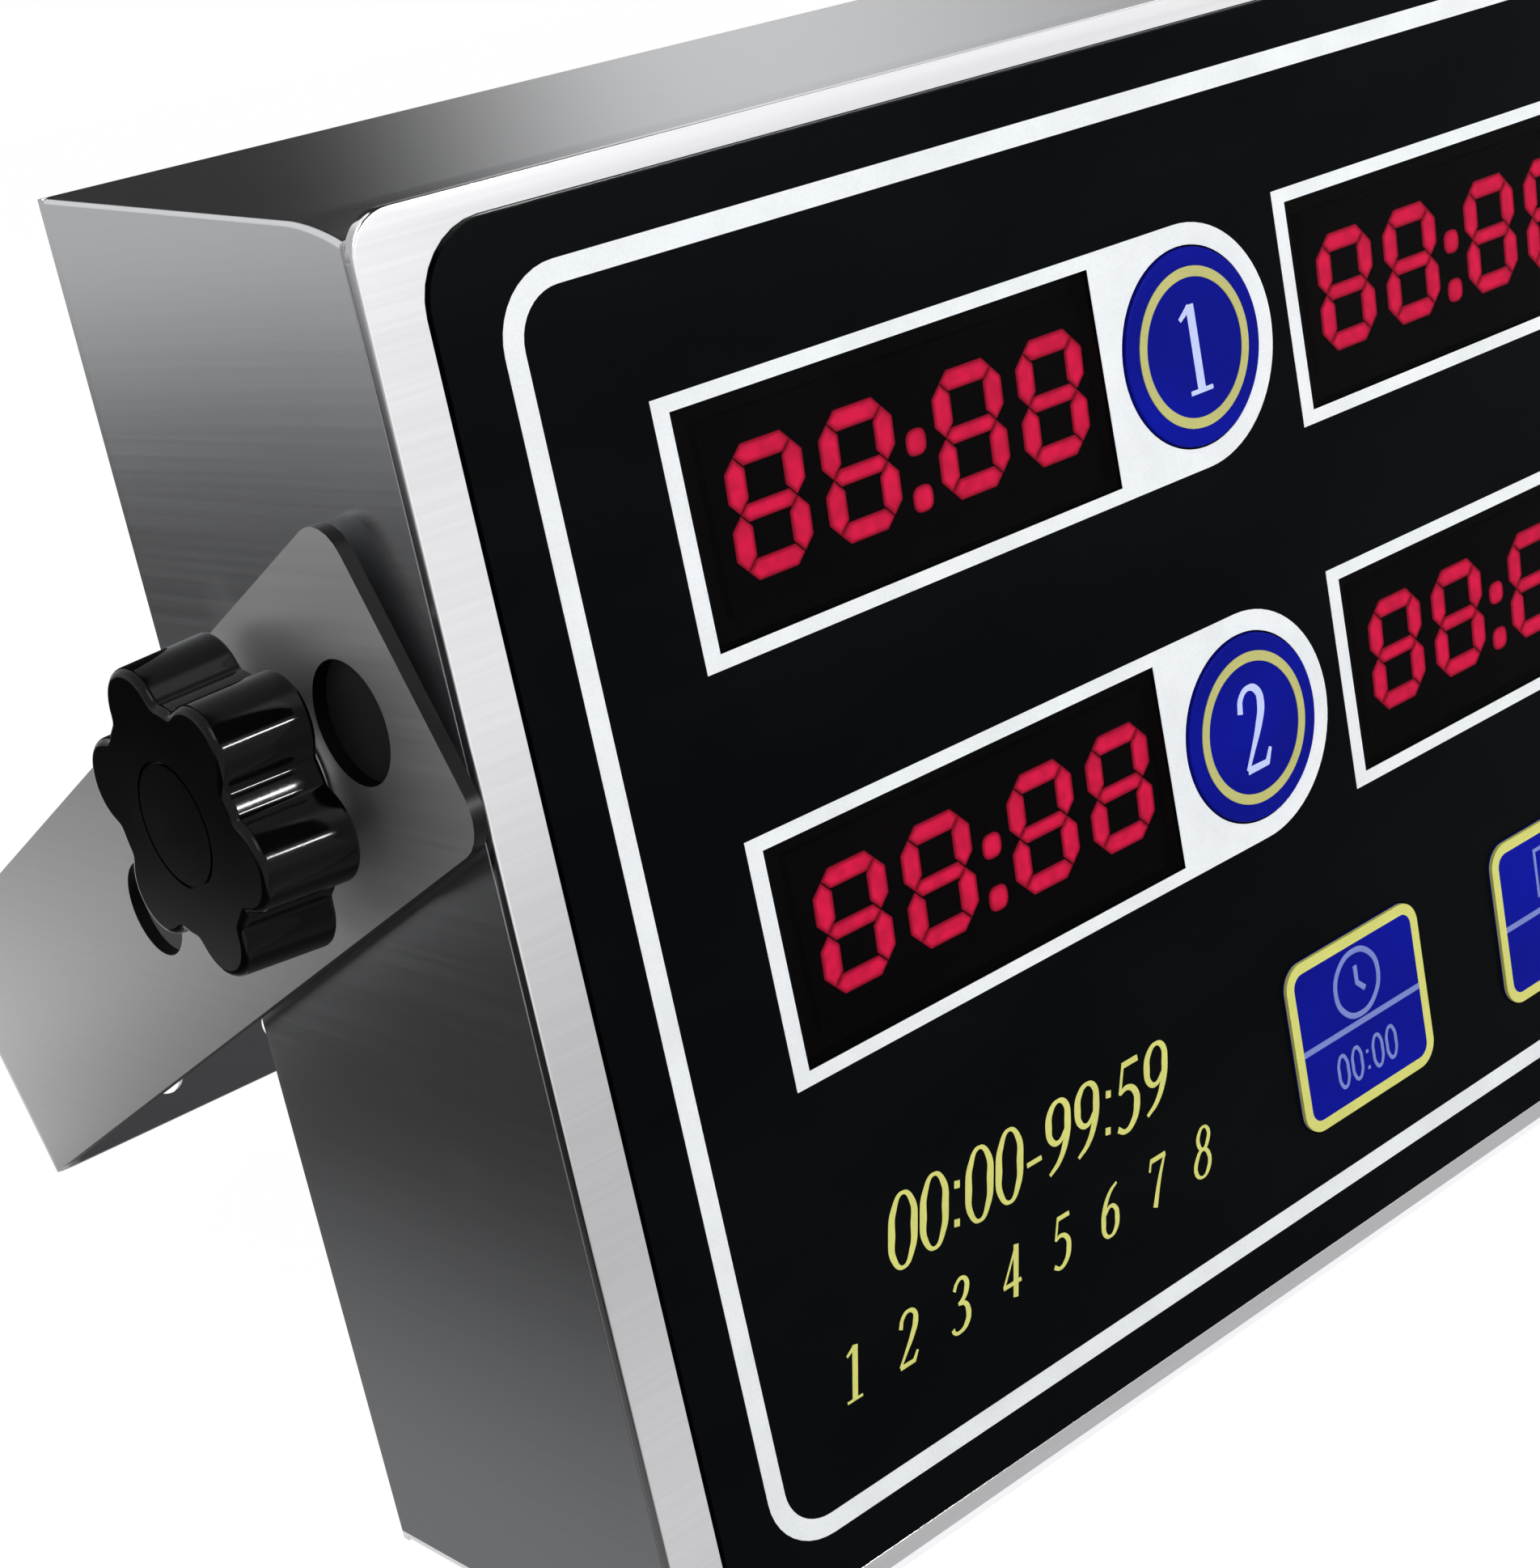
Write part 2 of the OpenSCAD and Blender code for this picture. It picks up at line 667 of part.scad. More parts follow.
// Plan of the bracket's strip between its outer or inner faces; +y runs along the arms to the base
module bracket_plan(half_w, reach, r) {
    translate([-half_w, -arm_front - cut]) square([2 * half_w, arm_front + cut + reach - r]);
    translate([-half_w + r, 0]) square([2 * (half_w - r), reach]);
    for (side = [-1, 1]) translate([side * (half_w - r), reach - r]) circle(r);
}

// Side view of an arm, with round corners at its front end
module arm_side() {
    translate([-arm_front + arm_corner, -strip_w / 2]) square([arm_front + base_out, strip_w]);
    translate([-arm_front, -strip_w / 2 + arm_corner]) square([2 * arm_corner, strip_w - 2 * arm_corner]);
    for (side = [-1, 1])
        translate([-arm_front + arm_corner, side * (strip_w / 2 - arm_corner)]) circle(arm_corner);
}

// Everything that turns with the bracket is drawn along +y and then tilted down about the pivots
module tilted() {
    translate([0, pivot_y, pivot_h]) rotate([-bracket_tilt, 0, 0]) children();
}

module bracket() {
    first_x = arm_in_x - base_hole_first;
    hole_x = [first_x, first_x - base_hole_pitch];
    color("silver") tilted() difference() {
        intersection() {
            linear_extrude(strip_w, center = true) difference() {
                bracket_plan(arm_out_x, base_out, bend_r + strip_t);
                bracket_plan(arm_in_x, base_in, bend_r);
            }
            along_x(-arm_out_x, arm_out_x) arm_side();
        }
        along_x(-arm_out_x - cut, arm_out_x + cut) {
            circle(d = bush_d + 2 * pivot_play);
            translate([-front_hole_at, 0]) circle(d = arm_hole_d);
            translate([rear_hole_at, 0]) circle(d = rear_hole_d);
        }
        along_y(base_in - cut, base_out + cut) for (side = [-1, 1]) for (x = hole_x)
            translate([side * x, -base_hole_drop]) circle(d = base_hole_d);
    }
}

// Thin pad on the inner face of an arm, behind its front hole
module arm_pad(side) {
    color([0.05, 0.05, 0.05]) tilted() mirror([side < 0 ? 1 : 0, 0, 0]) along_x(arm_in_x - pad_t, arm_in_x)
        difference() {
            translate([-front_hole_at, 0]) circle(pad_r);
            circle(d = bush_flange_d + 2 * move_gap);
        }
}

module pivot_bush(side) {
    barrel_in = stud_in + sheet_t;
    color("gainsboro") at_pivot(side) difference() {
        union() {
            along_x(side_x - barrel_in, arm_out_x - move_gap) circle(d = bush_d);
            along_x(side_x, side_x + bush_flange_t) circle(d = bush_flange_d);
            along_x(side_x - sheet_t - bush_flange_t, side_x - sheet_t) circle(d = bush_flange_d);
        }
        along_x(side_x - barrel_in - cut, arm_out_x + cut) circle(d = stud_d + 2 * pivot_play);
    }
}

module stud(side) {
    color("gainsboro") at_pivot(side) along_x(side_x - stud_in, head_x + stud_seat) circle(d = stud_d);
}

module washer(side) {
    color("gainsboro") at_pivot(side) along_x(washer_x, hub_x) difference() {
        circle(d = washer_d);
        circle(d = stud_d + 2 * fit_gap);
    }
}

module knob(side) {
    color([0.05, 0.05, 0.05]) at_pivot(side) difference() {
        union() {
            along_x(hub_x, head_x + cut) circle(d = hub_d);
            along_x(head_x, knob_end_x) {
                circle(lobe_root_r);
                for (lobe = [1 : lobe_count]) rotate(lobe_turn + lobe * 360 / lobe_count)
                    translate([lobe_tip_r - lobe_r, 0]) circle(lobe_r);
            }
        }
        along_x(hub_x - cut, head_x + stud_seat) circle(d = stud_d + 2 * seat_play);
    }
}

housing_shell();
bezel_frame();
rear_cover();
cover_screws();
front_panel();
display_lenses();
for (channel = channels) {
    display_module(channel);
    channel_key(channel);
}
for (key = function_keys) function_key(key);
carrier_plate();
carrier_screws();
main_board();
board_standoffs();
board_screws();
controller_chip();
tact_switches();
power_board();
power_standoffs();
power_screws();
transformer_core();
transformer_coil();
filter_capacitors();
board_link();
buzzer();
cord_gland();
gland_nut();
bracket();
arm_pad(-1);  // arm_pad_left
arm_pad(1);  // arm_pad_right
pivot_bush(-1);  // pivot_bush_left
pivot_bush(1);  // pivot_bush_right
stud(-1);  // stud_left
stud(1);  // stud_right
washer(-1);  // washer_left
washer(1);  // washer_right
knob(-1);  // knob_left
knob(1);  // knob_right
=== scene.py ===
import json
import math
import bmesh
import bpy
from mathutils import Matrix, Vector


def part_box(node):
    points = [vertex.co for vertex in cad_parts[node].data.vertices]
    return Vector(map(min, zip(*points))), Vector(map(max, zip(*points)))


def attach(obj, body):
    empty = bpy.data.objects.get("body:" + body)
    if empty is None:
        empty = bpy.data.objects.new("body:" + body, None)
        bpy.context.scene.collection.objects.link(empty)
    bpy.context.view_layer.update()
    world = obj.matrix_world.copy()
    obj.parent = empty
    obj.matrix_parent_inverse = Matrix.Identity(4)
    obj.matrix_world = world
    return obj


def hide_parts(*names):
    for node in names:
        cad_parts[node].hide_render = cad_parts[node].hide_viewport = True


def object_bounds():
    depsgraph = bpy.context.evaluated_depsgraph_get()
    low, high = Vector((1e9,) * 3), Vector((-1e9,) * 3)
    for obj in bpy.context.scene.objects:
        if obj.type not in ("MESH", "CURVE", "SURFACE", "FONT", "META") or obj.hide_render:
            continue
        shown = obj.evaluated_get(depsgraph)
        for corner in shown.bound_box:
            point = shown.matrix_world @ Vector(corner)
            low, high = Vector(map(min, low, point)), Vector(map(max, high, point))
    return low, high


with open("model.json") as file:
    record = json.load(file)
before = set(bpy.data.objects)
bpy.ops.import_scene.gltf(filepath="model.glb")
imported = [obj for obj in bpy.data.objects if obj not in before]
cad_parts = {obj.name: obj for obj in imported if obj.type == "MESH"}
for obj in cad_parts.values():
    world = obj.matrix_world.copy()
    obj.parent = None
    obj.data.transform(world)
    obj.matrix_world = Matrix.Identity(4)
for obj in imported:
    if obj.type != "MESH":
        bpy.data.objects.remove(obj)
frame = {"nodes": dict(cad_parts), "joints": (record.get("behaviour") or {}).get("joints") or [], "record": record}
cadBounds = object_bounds()
mm = 0.001
channels = range(1, 9)
functionKeys = range(1, 8)


# Named lengths that are given in millimetres
def lengths(**sizes):
    return {name: size * mm for name, size in sizes.items()}


# Shader maths: a wire is one socket, and sums of wires add Math nodes
class Wire:
    def __init__(self, tree, socket=None):
        self.tree = tree
        self.socket = socket

    def node(self, kind, settings, inputs, out=0):
        made = self.tree.nodes.new("ShaderNode" + kind)
        for name, value in settings.items():
            setattr(made, name, value)
        for key, value in inputs.items():
            if isinstance(value, Wire):
                self.tree.links.new(value.socket, made.inputs[key])
            else:
                made.inputs[key].default_value = value
        return Wire(self.tree, made.outputs[out])

    def maths(self, operation, first, second=0.0):
        return self.node("Math", {"operation": operation}, {0: first, 1: second})

    def __add__(self, other):
        return self.maths("ADD", self, other)

    def __radd__(self, other):
        return self.maths("ADD", other, self)

    def __sub__(self, other):
        return self.maths("SUBTRACT", self, other)

    def __rsub__(self, other):
        return self.maths("SUBTRACT", other, self)

    def __mul__(self, other):
        return self.maths("MULTIPLY", self, other)

    def __rmul__(self, other):
        return self.maths("MULTIPLY", other, self)

    def __abs__(self):
        return self.maths("ABSOLUTE", self)

    def ease(self, low, high):
        settings = {"interpolation_type": "SMOOTHSTEP"}
        return self.node("MapRange", settings, {"Value": self, "From Min": low, "From Max": high})


def newFinish(name, constants):
    finish = bpy.data.materials.new(name)
    finish.use_nodes = True
    shader = finish.node_tree.nodes["Principled BSDF"]
    for key, value in constants.items():
        shader.inputs[key].default_value = value
    place = Wire(finish.node_tree).node("TexCoord", {}, {}, "Object")
    return finish, place


def drive(finish, inputs):
    tree = finish.node_tree
    for key, wire in inputs.items():
        tree.links.new(wire.socket, tree.nodes["Principled BSDF"].inputs[key])


def noise(place, scale, detail=3.0, stretch=(1, 1, 1), turn=0.0):
    inputs = {"Vector": place, "Scale": stretch, "Rotation": (turn, 0, 0)}
    spot = place.node("Mapping", {}, inputs)
    return place.node("TexNoise", {}, {"Vector": spot, "Scale": scale, "Detail": detail}, "Fac")


def tint(share, first, second):
    ends = [colour if isinstance(colour, Wire) else (*colour, 1) for colour in (first, second)]
    return share.node("Mix", {"data_type": "RGBA"}, {0: share, 6: ends[0], 7: ends[1]}, 2)


# How far a place lies along a direction
def runOf(place, direction):
    return place.node("VectorMath", {"operation": "DOT_PRODUCT"}, {0: place, 1: direction}, "Value")


def bump(height, strength, distance):
    return height.node("Bump", {}, {"Height": height, "Strength": strength, "Distance": distance})


def shade(colour, factor):
    return tuple(min(1.0, part * factor) for part in colour)


# Sheet metal with fine brushing; faces that look sideways have their own brushing direction and a painted shade
# tone where one is given, an arm's cut edges, up to where the strip bends, are painted dark as shade, and so is
# the inner side of the base
def brushedSteel(name, look):
    finish, place = newFinish(name, {"Metallic": look["metal"]})
    along = noise(place, look["grain"], 4.0, look["along"], look["turn"])
    beside = noise(place, look["grain"], 4.0, look["beside"], look["turn"])
    normal = place.node("NewGeometry", {}, {}, "Normal")
    facing = abs(normal.node("SeparateXYZ", {}, {"Vector": normal}, "X"))
    aside = facing.ease(0.5, 0.8)
    lines = along + (beside - along) * aside
    clouds = noise(place, look["clouds"], 3.0)
    marks = noise(place, look["marks"], 6.0).ease(0.62, 0.8)
    share = (lines * 0.6 + clouds * 0.4).ease(0.25, 0.75)
    colour = tint(share, shade(look["tone"], 0.96), shade(look["tone"], 1.03))
    # Painted shade: faces that look sideways are given a darker tone
    if "sideShadeTone" in look:
        colour = tint(aside, colour, look["sideShadeTone"])
    # Painted shade: the arm's cut edges are painted near black and made fully metallic, standing in for the shadow
    # gap beside them
    if "cutShadeTone" in look:
        bend = runOf(place, look["cutAlong"]).ease(look["cutEnd"] - 1 * mm, look["cutEnd"])
        cutShade = (1 - facing.ease(0.4, 0.75)) * (1 - bend)
        ownNormal = place.node("TexCoord", {}, {}, "Normal")
        # Painted shade: the inner side of the base is darkened, standing in for the shade it gets from the case
        # behind
        inwardShade = (0 - runOf(ownNormal, look["cutAlong"])).ease(0.5, 0.9) * bend
        colour = tint(cutShade, tint(inwardShade, colour, look["innerShadeTone"]), look["cutShadeTone"])
        drive(finish, {"Metallic": look["metal"] + cutShade * (1 - look["metal"])})
    drive(finish, {
        "Base Color": colour,
        "Roughness": look["rough"] + (lines - 0.5) * look["roughSpan"] + clouds * 0.05 + marks * 0.04,
        "Normal": bump(lines, look["relief"], 0.02 * mm),
    })
    return finish


def plated(name, tone, rough):
    finish, place = newFinish(name, {"Metallic": 1.0})
    clouds = noise(place, 900.0, 4.0)
    stains = noise(place, 120.0, 3.0).ease(0.4, 0.75)
    drive(finish, {
        "Base Color": tint(stains, tone, shade(tone, 0.8)),
        "Roughness": rough + clouds * 0.12 + stains * 0.1,
        "Normal": bump(clouds, 0.06, 0.03 * mm),
    })
    return finish


def moulded(name, tone, rough, relief, specular=0.5, grainScale=2600.0):
    finish, place = newFinish(name, {"Specular IOR Level": specular})
    grain = noise(place, grainScale, 2.0)
    wipe = noise(place, 70.0, 4.0)
    drive(finish, {
        "Base Color": tint(wipe.ease(0.3, 0.7), shade(tone, 0.85), shade(tone, 1.2)),
        "Roughness": rough + (wipe - 0.5) * 0.16 + (grain - 0.5) * 0.1,
        "Normal": bump(grain, relief, 0.05 * mm),
    })
    return finish


def glossFilm(name, tone, rough, specular):
    finish, place = newFinish(name, {"Specular IOR Level": specular})
    film = noise(place, 3200.0, 2.0)
    smear = noise(place, 26.0, 5.0, (1, 1, 2.5))
    drive(finish, {
        "Base Color": tint(smear.ease(0.35, 0.7), tone, shade(tone, 1.5)),
        "Roughness": rough + smear.ease(0.4, 0.75) * 0.12 + film * 0.04,
        "Normal": bump(film, 0.03, 0.02 * mm),
    })
    return finish


def printInk(name, tone, rough=0.5):
    finish, place = newFinish(name, {"Specular IOR Level": 0.3})
    mesh = noise(place, 4200.0, 1.0)
    cover = noise(place, 160.0, 3.0)
    drive(finish, {
        "Base Color": tint((mesh * 0.4 + cover * 0.6).ease(0.3, 0.7), shade(tone, 0.93), shade(tone, 1.03)),
        "Roughness": rough + (cover - 0.5) * 0.2,
        "Normal": bump(mesh, 0.05, 0.01 * mm),
    })
    return finish


# Lit plastic that is brightest along the middle of each bar, where the attribute glow is 1
def litSegment(name, tone, edgeTone, strength):
    finish, place = newFinish(name, {"Base Color": (*shade(tone, 0.4), 1), "Roughness": 0.4,
                                     "Emission Strength": strength})
    spread = noise(place, 700.0, 2.0)
    core = tint(spread.ease(0.3, 0.7), shade(tone, 0.85), shade(tone, 1.15))
    glow = place.node("Attribute", {"attribute_name": "glow"}, {}, "Fac")
    drive(finish, {"Emission Color": tint(glow.ease(0.0, 1.0), edgeTone, core)})
    return finish


def smokedLens(name, tone):
    finish, place = newFinish(name, {"Alpha": 0.55, "Specular IOR Level": 0.03})
    smear = noise(place, 40.0, 4.0)
    drive(finish, {
        "Base Color": tint(smear.ease(0.4, 0.7), tone, shade(tone, 1.6)),
        "Roughness": 0.22 + smear * 0.1,
    })
    return finish


def circuitBoard(name, mask, copper):
    finish, place = newFinish(name, {"Specular IOR Level": 0.5})
    spot = place.node("Mapping", {}, {"Vector": place, "Rotation": (math.pi / 2, 0, 0)})
    brick = {"Vector": spot, "Scale": 220.0, "Mortar Size": 0.03, "Color1": (0, 0, 0, 1),
             "Color2": (0, 0, 0, 1), "Mortar": (1, 1, 1, 1)}
    tracks = place.node("TexBrick", {"offset": 0.5}, brick, "Fac")
    clouds = noise(place, 60.0, 3.0)
    drive(finish, {
        "Base Color": tint(tracks * 0.6, mask, copper),
        "Roughness": 0.35 + clouds * 0.2,
        "Normal": bump(tracks, 0.2, 0.03 * mm),
    })
    return finish


steelLook = {"tone": (0.60, 0.61, 0.63), "grain": 1.0, "along": (14, 1500, 1500), "beside": (1500, 14, 1500),
             "turn": 0.0, "clouds": 11.0, "marks": 55.0, "rough": 0.2, "roughSpan": 0.06, "relief": 0.02,
             "metal": 1.0}

# A finish's maker, name and settings: tones first, then roughness, relief, gloss or strength
finishTable = [
    (brushedSteel, "caseSteel", steelLook),
    # The frame's sideways faces get a painted shade tone
    (brushedSteel, "frameSteel", {**steelLook, "tone": (0.88, 0.88, 0.90), "rough": 0.1, "relief": 0.01,
                                  "sideShadeTone": (0.42, 0.42, 0.43)}),
    (brushedSteel, "bracketSteel", {**steelLook, "tone": (0.60, 0.60, 0.61), "rough": 0.36,
                                    "turn": math.radians(26.5), "metal": 0.9,
                                    # painted shade on the arm's cut edges
                                    "cutShadeTone": (0.02, 0.02, 0.02), "cutEnd": 64 * mm,
                                    # painted shade on the inner side of the base
                                    "innerShadeTone": (0.26, 0.26, 0.27), "cutAlong": (0, 0.895, -0.446)}),
    (moulded, "plateBlack", (0.006, 0.006, 0.007), 0.6, 0.08, 0.2),
    (plated, "zinc", (0.70, 0.70, 0.69), 0.3),
    (plated, "brassPost", (0.72, 0.52, 0.22), 0.28),
    (plated, "coreIron", (0.22, 0.22, 0.23), 0.5),
    (glossFilm, "panelBlack", (0.0012, 0.0017, 0.0022), 0.3, 0.02),
    (glossFilm, "keyBlue", (0.0015, 0.0045, 0.225), 0.4, 0.03),
    (printInk, "inkWhite", (0.81, 0.84, 0.86)),
    (printInk, "inkYellow", (0.66, 0.66, 0.17)),
    (printInk, "inkRing", (0.49, 0.48, 0.16)),
    (printInk, "inkNumeral", (0.52, 0.60, 0.92)),
    (printInk, "inkIcon", (0.18, 0.23, 0.58)),
    (litSegment, "ledRed", (0.80, 0.012, 0.075), (0.30, 0.003, 0.02), 3.7),
    (smokedLens, "lensSmoke", (0.0015, 0.001, 0.0014)),
    (moulded, "displayGrey", (0.004, 0.0036, 0.004), 0.6, 0.08, 0.1),
    (moulded, "knobBlack", (0.0015, 0.0015, 0.0016), 0.09, 0.006, 0.15),
    (moulded, "glandBlack", (0.016, 0.016, 0.017), 0.5, 0.1),
    (moulded, "chipBlack", (0.02, 0.02, 0.021), 0.6, 0.15),
    (moulded, "padBlack", (0.008, 0.008, 0.008), 0.75, 0.2, 0.3, 1500.0),
    (moulded, "coilTape", (0.55, 0.34, 0.10), 0.45, 0.1),
    (moulded, "canBlue", (0.02, 0.03, 0.12), 0.3, 0.03),
    (moulded, "ribbonGrey", (0.45, 0.45, 0.44), 0.55, 0.1),
    (circuitBoard, "boardGreen", (0.012, 0.12, 0.04), (0.04, 0.28, 0.10)),
]
finishes = {name: make(name, *settings) for make, name, *settings in finishTable}
print("finishes:", len(finishes))

# Which finish each carried-over solid wears
worn = {
    "front_panel": "panelBlack", "display_lenses": "lensSmoke", "rear_cover": "caseSteel",
    "carrier_plate": "plateBlack", "carrier_screws": "zinc", "main_board": "boardGreen",
    "board_standoffs": "brassPost", "board_screws": "zinc", "controller_chip": "chipBlack",
    "tact_switches": "chipBlack", "power_board": "boardGreen", "power_standoffs": "brassPost",
    "power_screws": "zinc", "transformer_core": "coreIron", "transformer_coil": "coilTape",
    "filter_capacitors": "canBlue", "board_link": "ribbonGrey", "buzzer": "chipBlack",
    "gland_nut": "glandBlack",
    **{f"display_module_{channel}": "displayGrey" for channel in channels},
    **{f"{part}_{side}": finish for side in ("left", "right") for part, finish in
       (("arm_pad", "padBlack"), ("pivot_bush", "zinc"), ("stud", "zinc"), ("washer", "zinc"))},
}
for nodeName, finishName in worn.items():
    solid = frame["nodes"][nodeName].data
    solid.materials.clear()
    solid.materials.append(finishes[finishName])


# Modelling helpers: sharpAngle is where edges stay sharp or are rounded, mergeGap joins points, and
# nearlyAlong is the share of a line or normal that makes it lie along an axis
sharpAngle = 35.0
mergeGap = 1e-6
nearlyAlong = 0.99
facingFront = (math.pi / 2, 0, 0)


def clearSelection():
    if bpy.context.mode != "OBJECT":
        bpy.ops.object.mode_set(mode="OBJECT")
    bpy.ops.object.select_all(action="DESELECT")


def hold(piece):
    clearSelection()
    piece.select_set(True)
    bpy.context.view_layer.objects.active = piece


def editPiece(piece):
    hold(piece)
    bpy.ops.object.mode_set(mode="EDIT")
    bpy.ops.mesh.select_all(action="SELECT")


def leaveEdit():
    bpy.ops.object.mode_set(mode="OBJECT")
    return bpy.context.object


# Selects faces, edges or points of the piece in edit mode by a test on their middle, direction or normal
def pick(kind, test):
    bpy.ops.mesh.select_mode(type=kind)
    bpy.ops.mesh.select_all(action="DESELECT")
    shape = bmesh.from_edit_mesh(bpy.context.object.data)
    for item in {"FACE": shape.faces, "EDGE": shape.edges, "VERT": shape.verts}[kind]:
        if test(item):
            item.select_set(True)
    shape.select_flush_mode()
    bmesh.update_edit_mesh(bpy.context.object.data)


def edgeMiddle(edge):
    return (edge.verts[0].co + edge.verts[1].co) / 2


def edgeRuns(edge, axis):
    step = edge.verts[1].co - edge.verts[0].co
    return abs(step[axis]) > nearlyAlong * step.length


def isNear(first, second, within=1e-5):
    return abs(first - second) < within


def applyPlace(piece):
    hold(piece)
    bpy.ops.object.transform_apply(location=True, rotation=True, scale=True)
    return piece


def addModifier(piece, kind, settings):
    bpy.context.view_layer.objects.active = piece
    step = piece.modifiers.new(kind, kind)
    for name, value in settings.items():
        setattr(step, name, value)
    bpy.ops.object.modifier_apply(modifier=step.name)


def thicken(piece, depth):
    addModifier(piece, "SOLIDIFY", {"thickness": depth, "offset": -1.0, "use_even_offset": True})


def roundEdges(piece, width, steps=3, angle=sharpAngle):
    addModifier(piece, "BEVEL", {"width": width, "segments": steps, "limit_method": "ANGLE",
                                 "angle_limit": math.radians(angle), "harden_normals": False})


def cutWith(piece, cutter):
    addModifier(piece, "BOOLEAN", {"operation": "DIFFERENCE", "solver": "EXACT", "object": cutter})
    bpy.data.objects.remove(cutter)


def joinPieces(parts):
    clearSelection()
    for part in parts:
        part.select_set(True)
    bpy.context.view_layer.objects.active = parts[0]
    bpy.ops.object.join()
    return bpy.context.object


def copyPiece(piece, name, matrix):
    twin = piece.copy()
    twin.data = piece.data.copy()
    twin.name = name
    bpy.context.scene.collection.objects.link(twin)
    twin.data.transform(matrix)
    if matrix.determinant() < 0:
        twin.data.flip_normals()
    return twin


# Names, shades, dresses and seats a finished piece
def seat(piece, name, finish, body, replaced=()):
    hold(piece)
    piece.name = name
    piece.data.name = name
    bpy.ops.object.shade_smooth_by_angle(angle=math.radians(sharpAngle))
    addModifier(piece, "WEIGHTED_NORMAL", {"keep_sharp": True})
    piece.data.materials.clear()
    piece.data.materials.append(finishes[finish])
    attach(piece, body)
    if replaced:
        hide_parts(*replaced)


def block(low, high):
    clearSelection()
    bpy.ops.mesh.primitive_cube_add(size=1, location=(Vector(low) + Vector(high)) / 2)
    piece = bpy.context.object
    piece.scale = Vector(high) - Vector(low)
    return applyPlace(piece)


def rod(radius, start, end, sides=64):
    clearSelection()
    run = Vector(end) - Vector(start)
    bpy.ops.mesh.primitive_cylinder_add(vertices=sides, radius=radius, depth=run.length,
                                        location=(Vector(start) + Vector(end)) / 2,
                                        rotation=run.to_track_quat("Z", "Y").to_euler())
    return applyPlace(bpy.context.object)


def plane(size, place=(0, 0, 0), turn=(0, 0, 0)):
    clearSelection()
    bpy.ops.mesh.primitive_plane_add(size=1, location=place, rotation=turn)
    piece = bpy.context.object
    piece.scale = (size[0], size[1], 1)
    return applyPlace(piece)


# Merges the points of the shape in edit mode and turns its faces outwards
def weld():
    bpy.ops.mesh.select_all(action="SELECT")
    bpy.ops.mesh.remove_doubles(threshold=mergeGap)
    bpy.ops.mesh.normals_make_consistent(inside=False)


# Turns a flat piece round if it looks away from a direction
def lookAlong(piece, way):
    if piece.data.polygons[0].normal.dot(Vector(way)) < 0:
        piece.data.flip_normals()


# Middle and size of a node as the front shows it
def middleOf(node):
    low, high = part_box(node)
    return (low.x + high.x) / 2, (low.z + high.z) / 2


def sizeOf(node):
    low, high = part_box(node)
    return high.x - low.x, high.z - low.z


# A flat plate that faces the front, with round corners
def frontPlate(centre, size, corner, front, steps=8):
    piece = plane(size, (centre[0], front, centre[1]), facingFront)
    editPiece(piece)
    bpy.ops.mesh.bevel(offset=corner, segments=steps, affect="VERTICES")
    return leaveEdit()


# A flat ring that faces the front, between two plates with round corners
def frontRing(outer, inner):
    piece = joinPieces([outer, inner])
    editPiece(piece)
    bpy.ops.mesh.delete(type="ONLY_FACE")
    bpy.ops.mesh.select_mode(type="EDGE")
    bpy.ops.mesh.select_all(action="SELECT")
    bpy.ops.mesh.bridge_edge_loops()
    bpy.ops.mesh.select_all(action="SELECT")
    bpy.ops.mesh.normals_make_consistent(inside=False)
    leaveEdit()
    lookAlong(piece, (0, -1, 0))
    return piece


# A shape turned about an axis along y: the profile is [distance from the axis, depth y]
def turned(profile, centre, steps=96):
    piece = plane((1, 1))
    editPiece(piece)
    bpy.ops.mesh.delete(type="VERT")
    shape = bmesh.from_edit_mesh(piece.data)
    points = [shape.verts.new((centre[0] + distance, depth, centre[1])) for distance, depth in profile]
    for first, second in zip(points, points[1:]):
        shape.edges.new((first, second))
    bmesh.update_edit_mesh(piece.data)
    bpy.ops.mesh.select_all(action="SELECT")
    bpy.ops.mesh.spin(steps=steps, angle=2 * math.pi, center=(centre[0], 0, centre[1]), axis=(0, 1, 0))
    weld()
    return leaveEdit()


# Points of a quarter or longer arc in x and z
def arc(centre, radius, start, end, steps):
    turn = [math.radians(start + (end - start) * step / steps) for step in range(steps + 1)]
    return [(centre[0] + radius * math.cos(angle), centre[1] + radius * math.sin(angle)) for angle in turn]


def ringLoop(centre, radius, steps=72):
    return arc(centre, radius, 0, 360, steps)[:-1]


def boxLoop(low, high, corner=0.0, steps=10):
    if corner == 0:
        return [(low[0], low[1]), (high[0], low[1]), (high[0], high[1]), (low[0], high[1])]
    x = (low[0] + corner, high[0] - corner)
    z = (low[1] + corner, high[1] - corner)
    corners = [((x[0], z[0]), 180), ((x[1], z[0]), 270), ((x[1], z[1]), 0), ((x[0], z[1]), 90)]
    return [point for middle, start in corners for point in arc(middle, corner, start, start + 90, steps)]


def layCurve(name, data, front):
    piece = bpy.data.objects.new(name, data)
    bpy.context.scene.collection.objects.link(piece)
    hold(piece)
    bpy.ops.object.convert(target="MESH")
    piece = bpy.context.object
    piece.data.transform(Matrix.Translation((0, front, 0)) @ Matrix.Rotation(math.pi / 2, 4, "X"))
    return piece


# Ink that is printed on a face: closed loops in x and z, where inner loops are left open
def printed(name, loops, front, thick):
    data = bpy.data.curves.new(name, "CURVE")
    data.dimensions = "2D"
    data.fill_mode = "BOTH"
    data.extrude = thick / 2
    for places in loops:
        line = data.splines.new("POLY")
        line.points.add(len(places) - 1)
        line.use_cyclic_u = True
        for point, place in zip(line.points, places):
            point.co = (place[0], place[1], 0, 1)
    return layCurve(name, data, front)


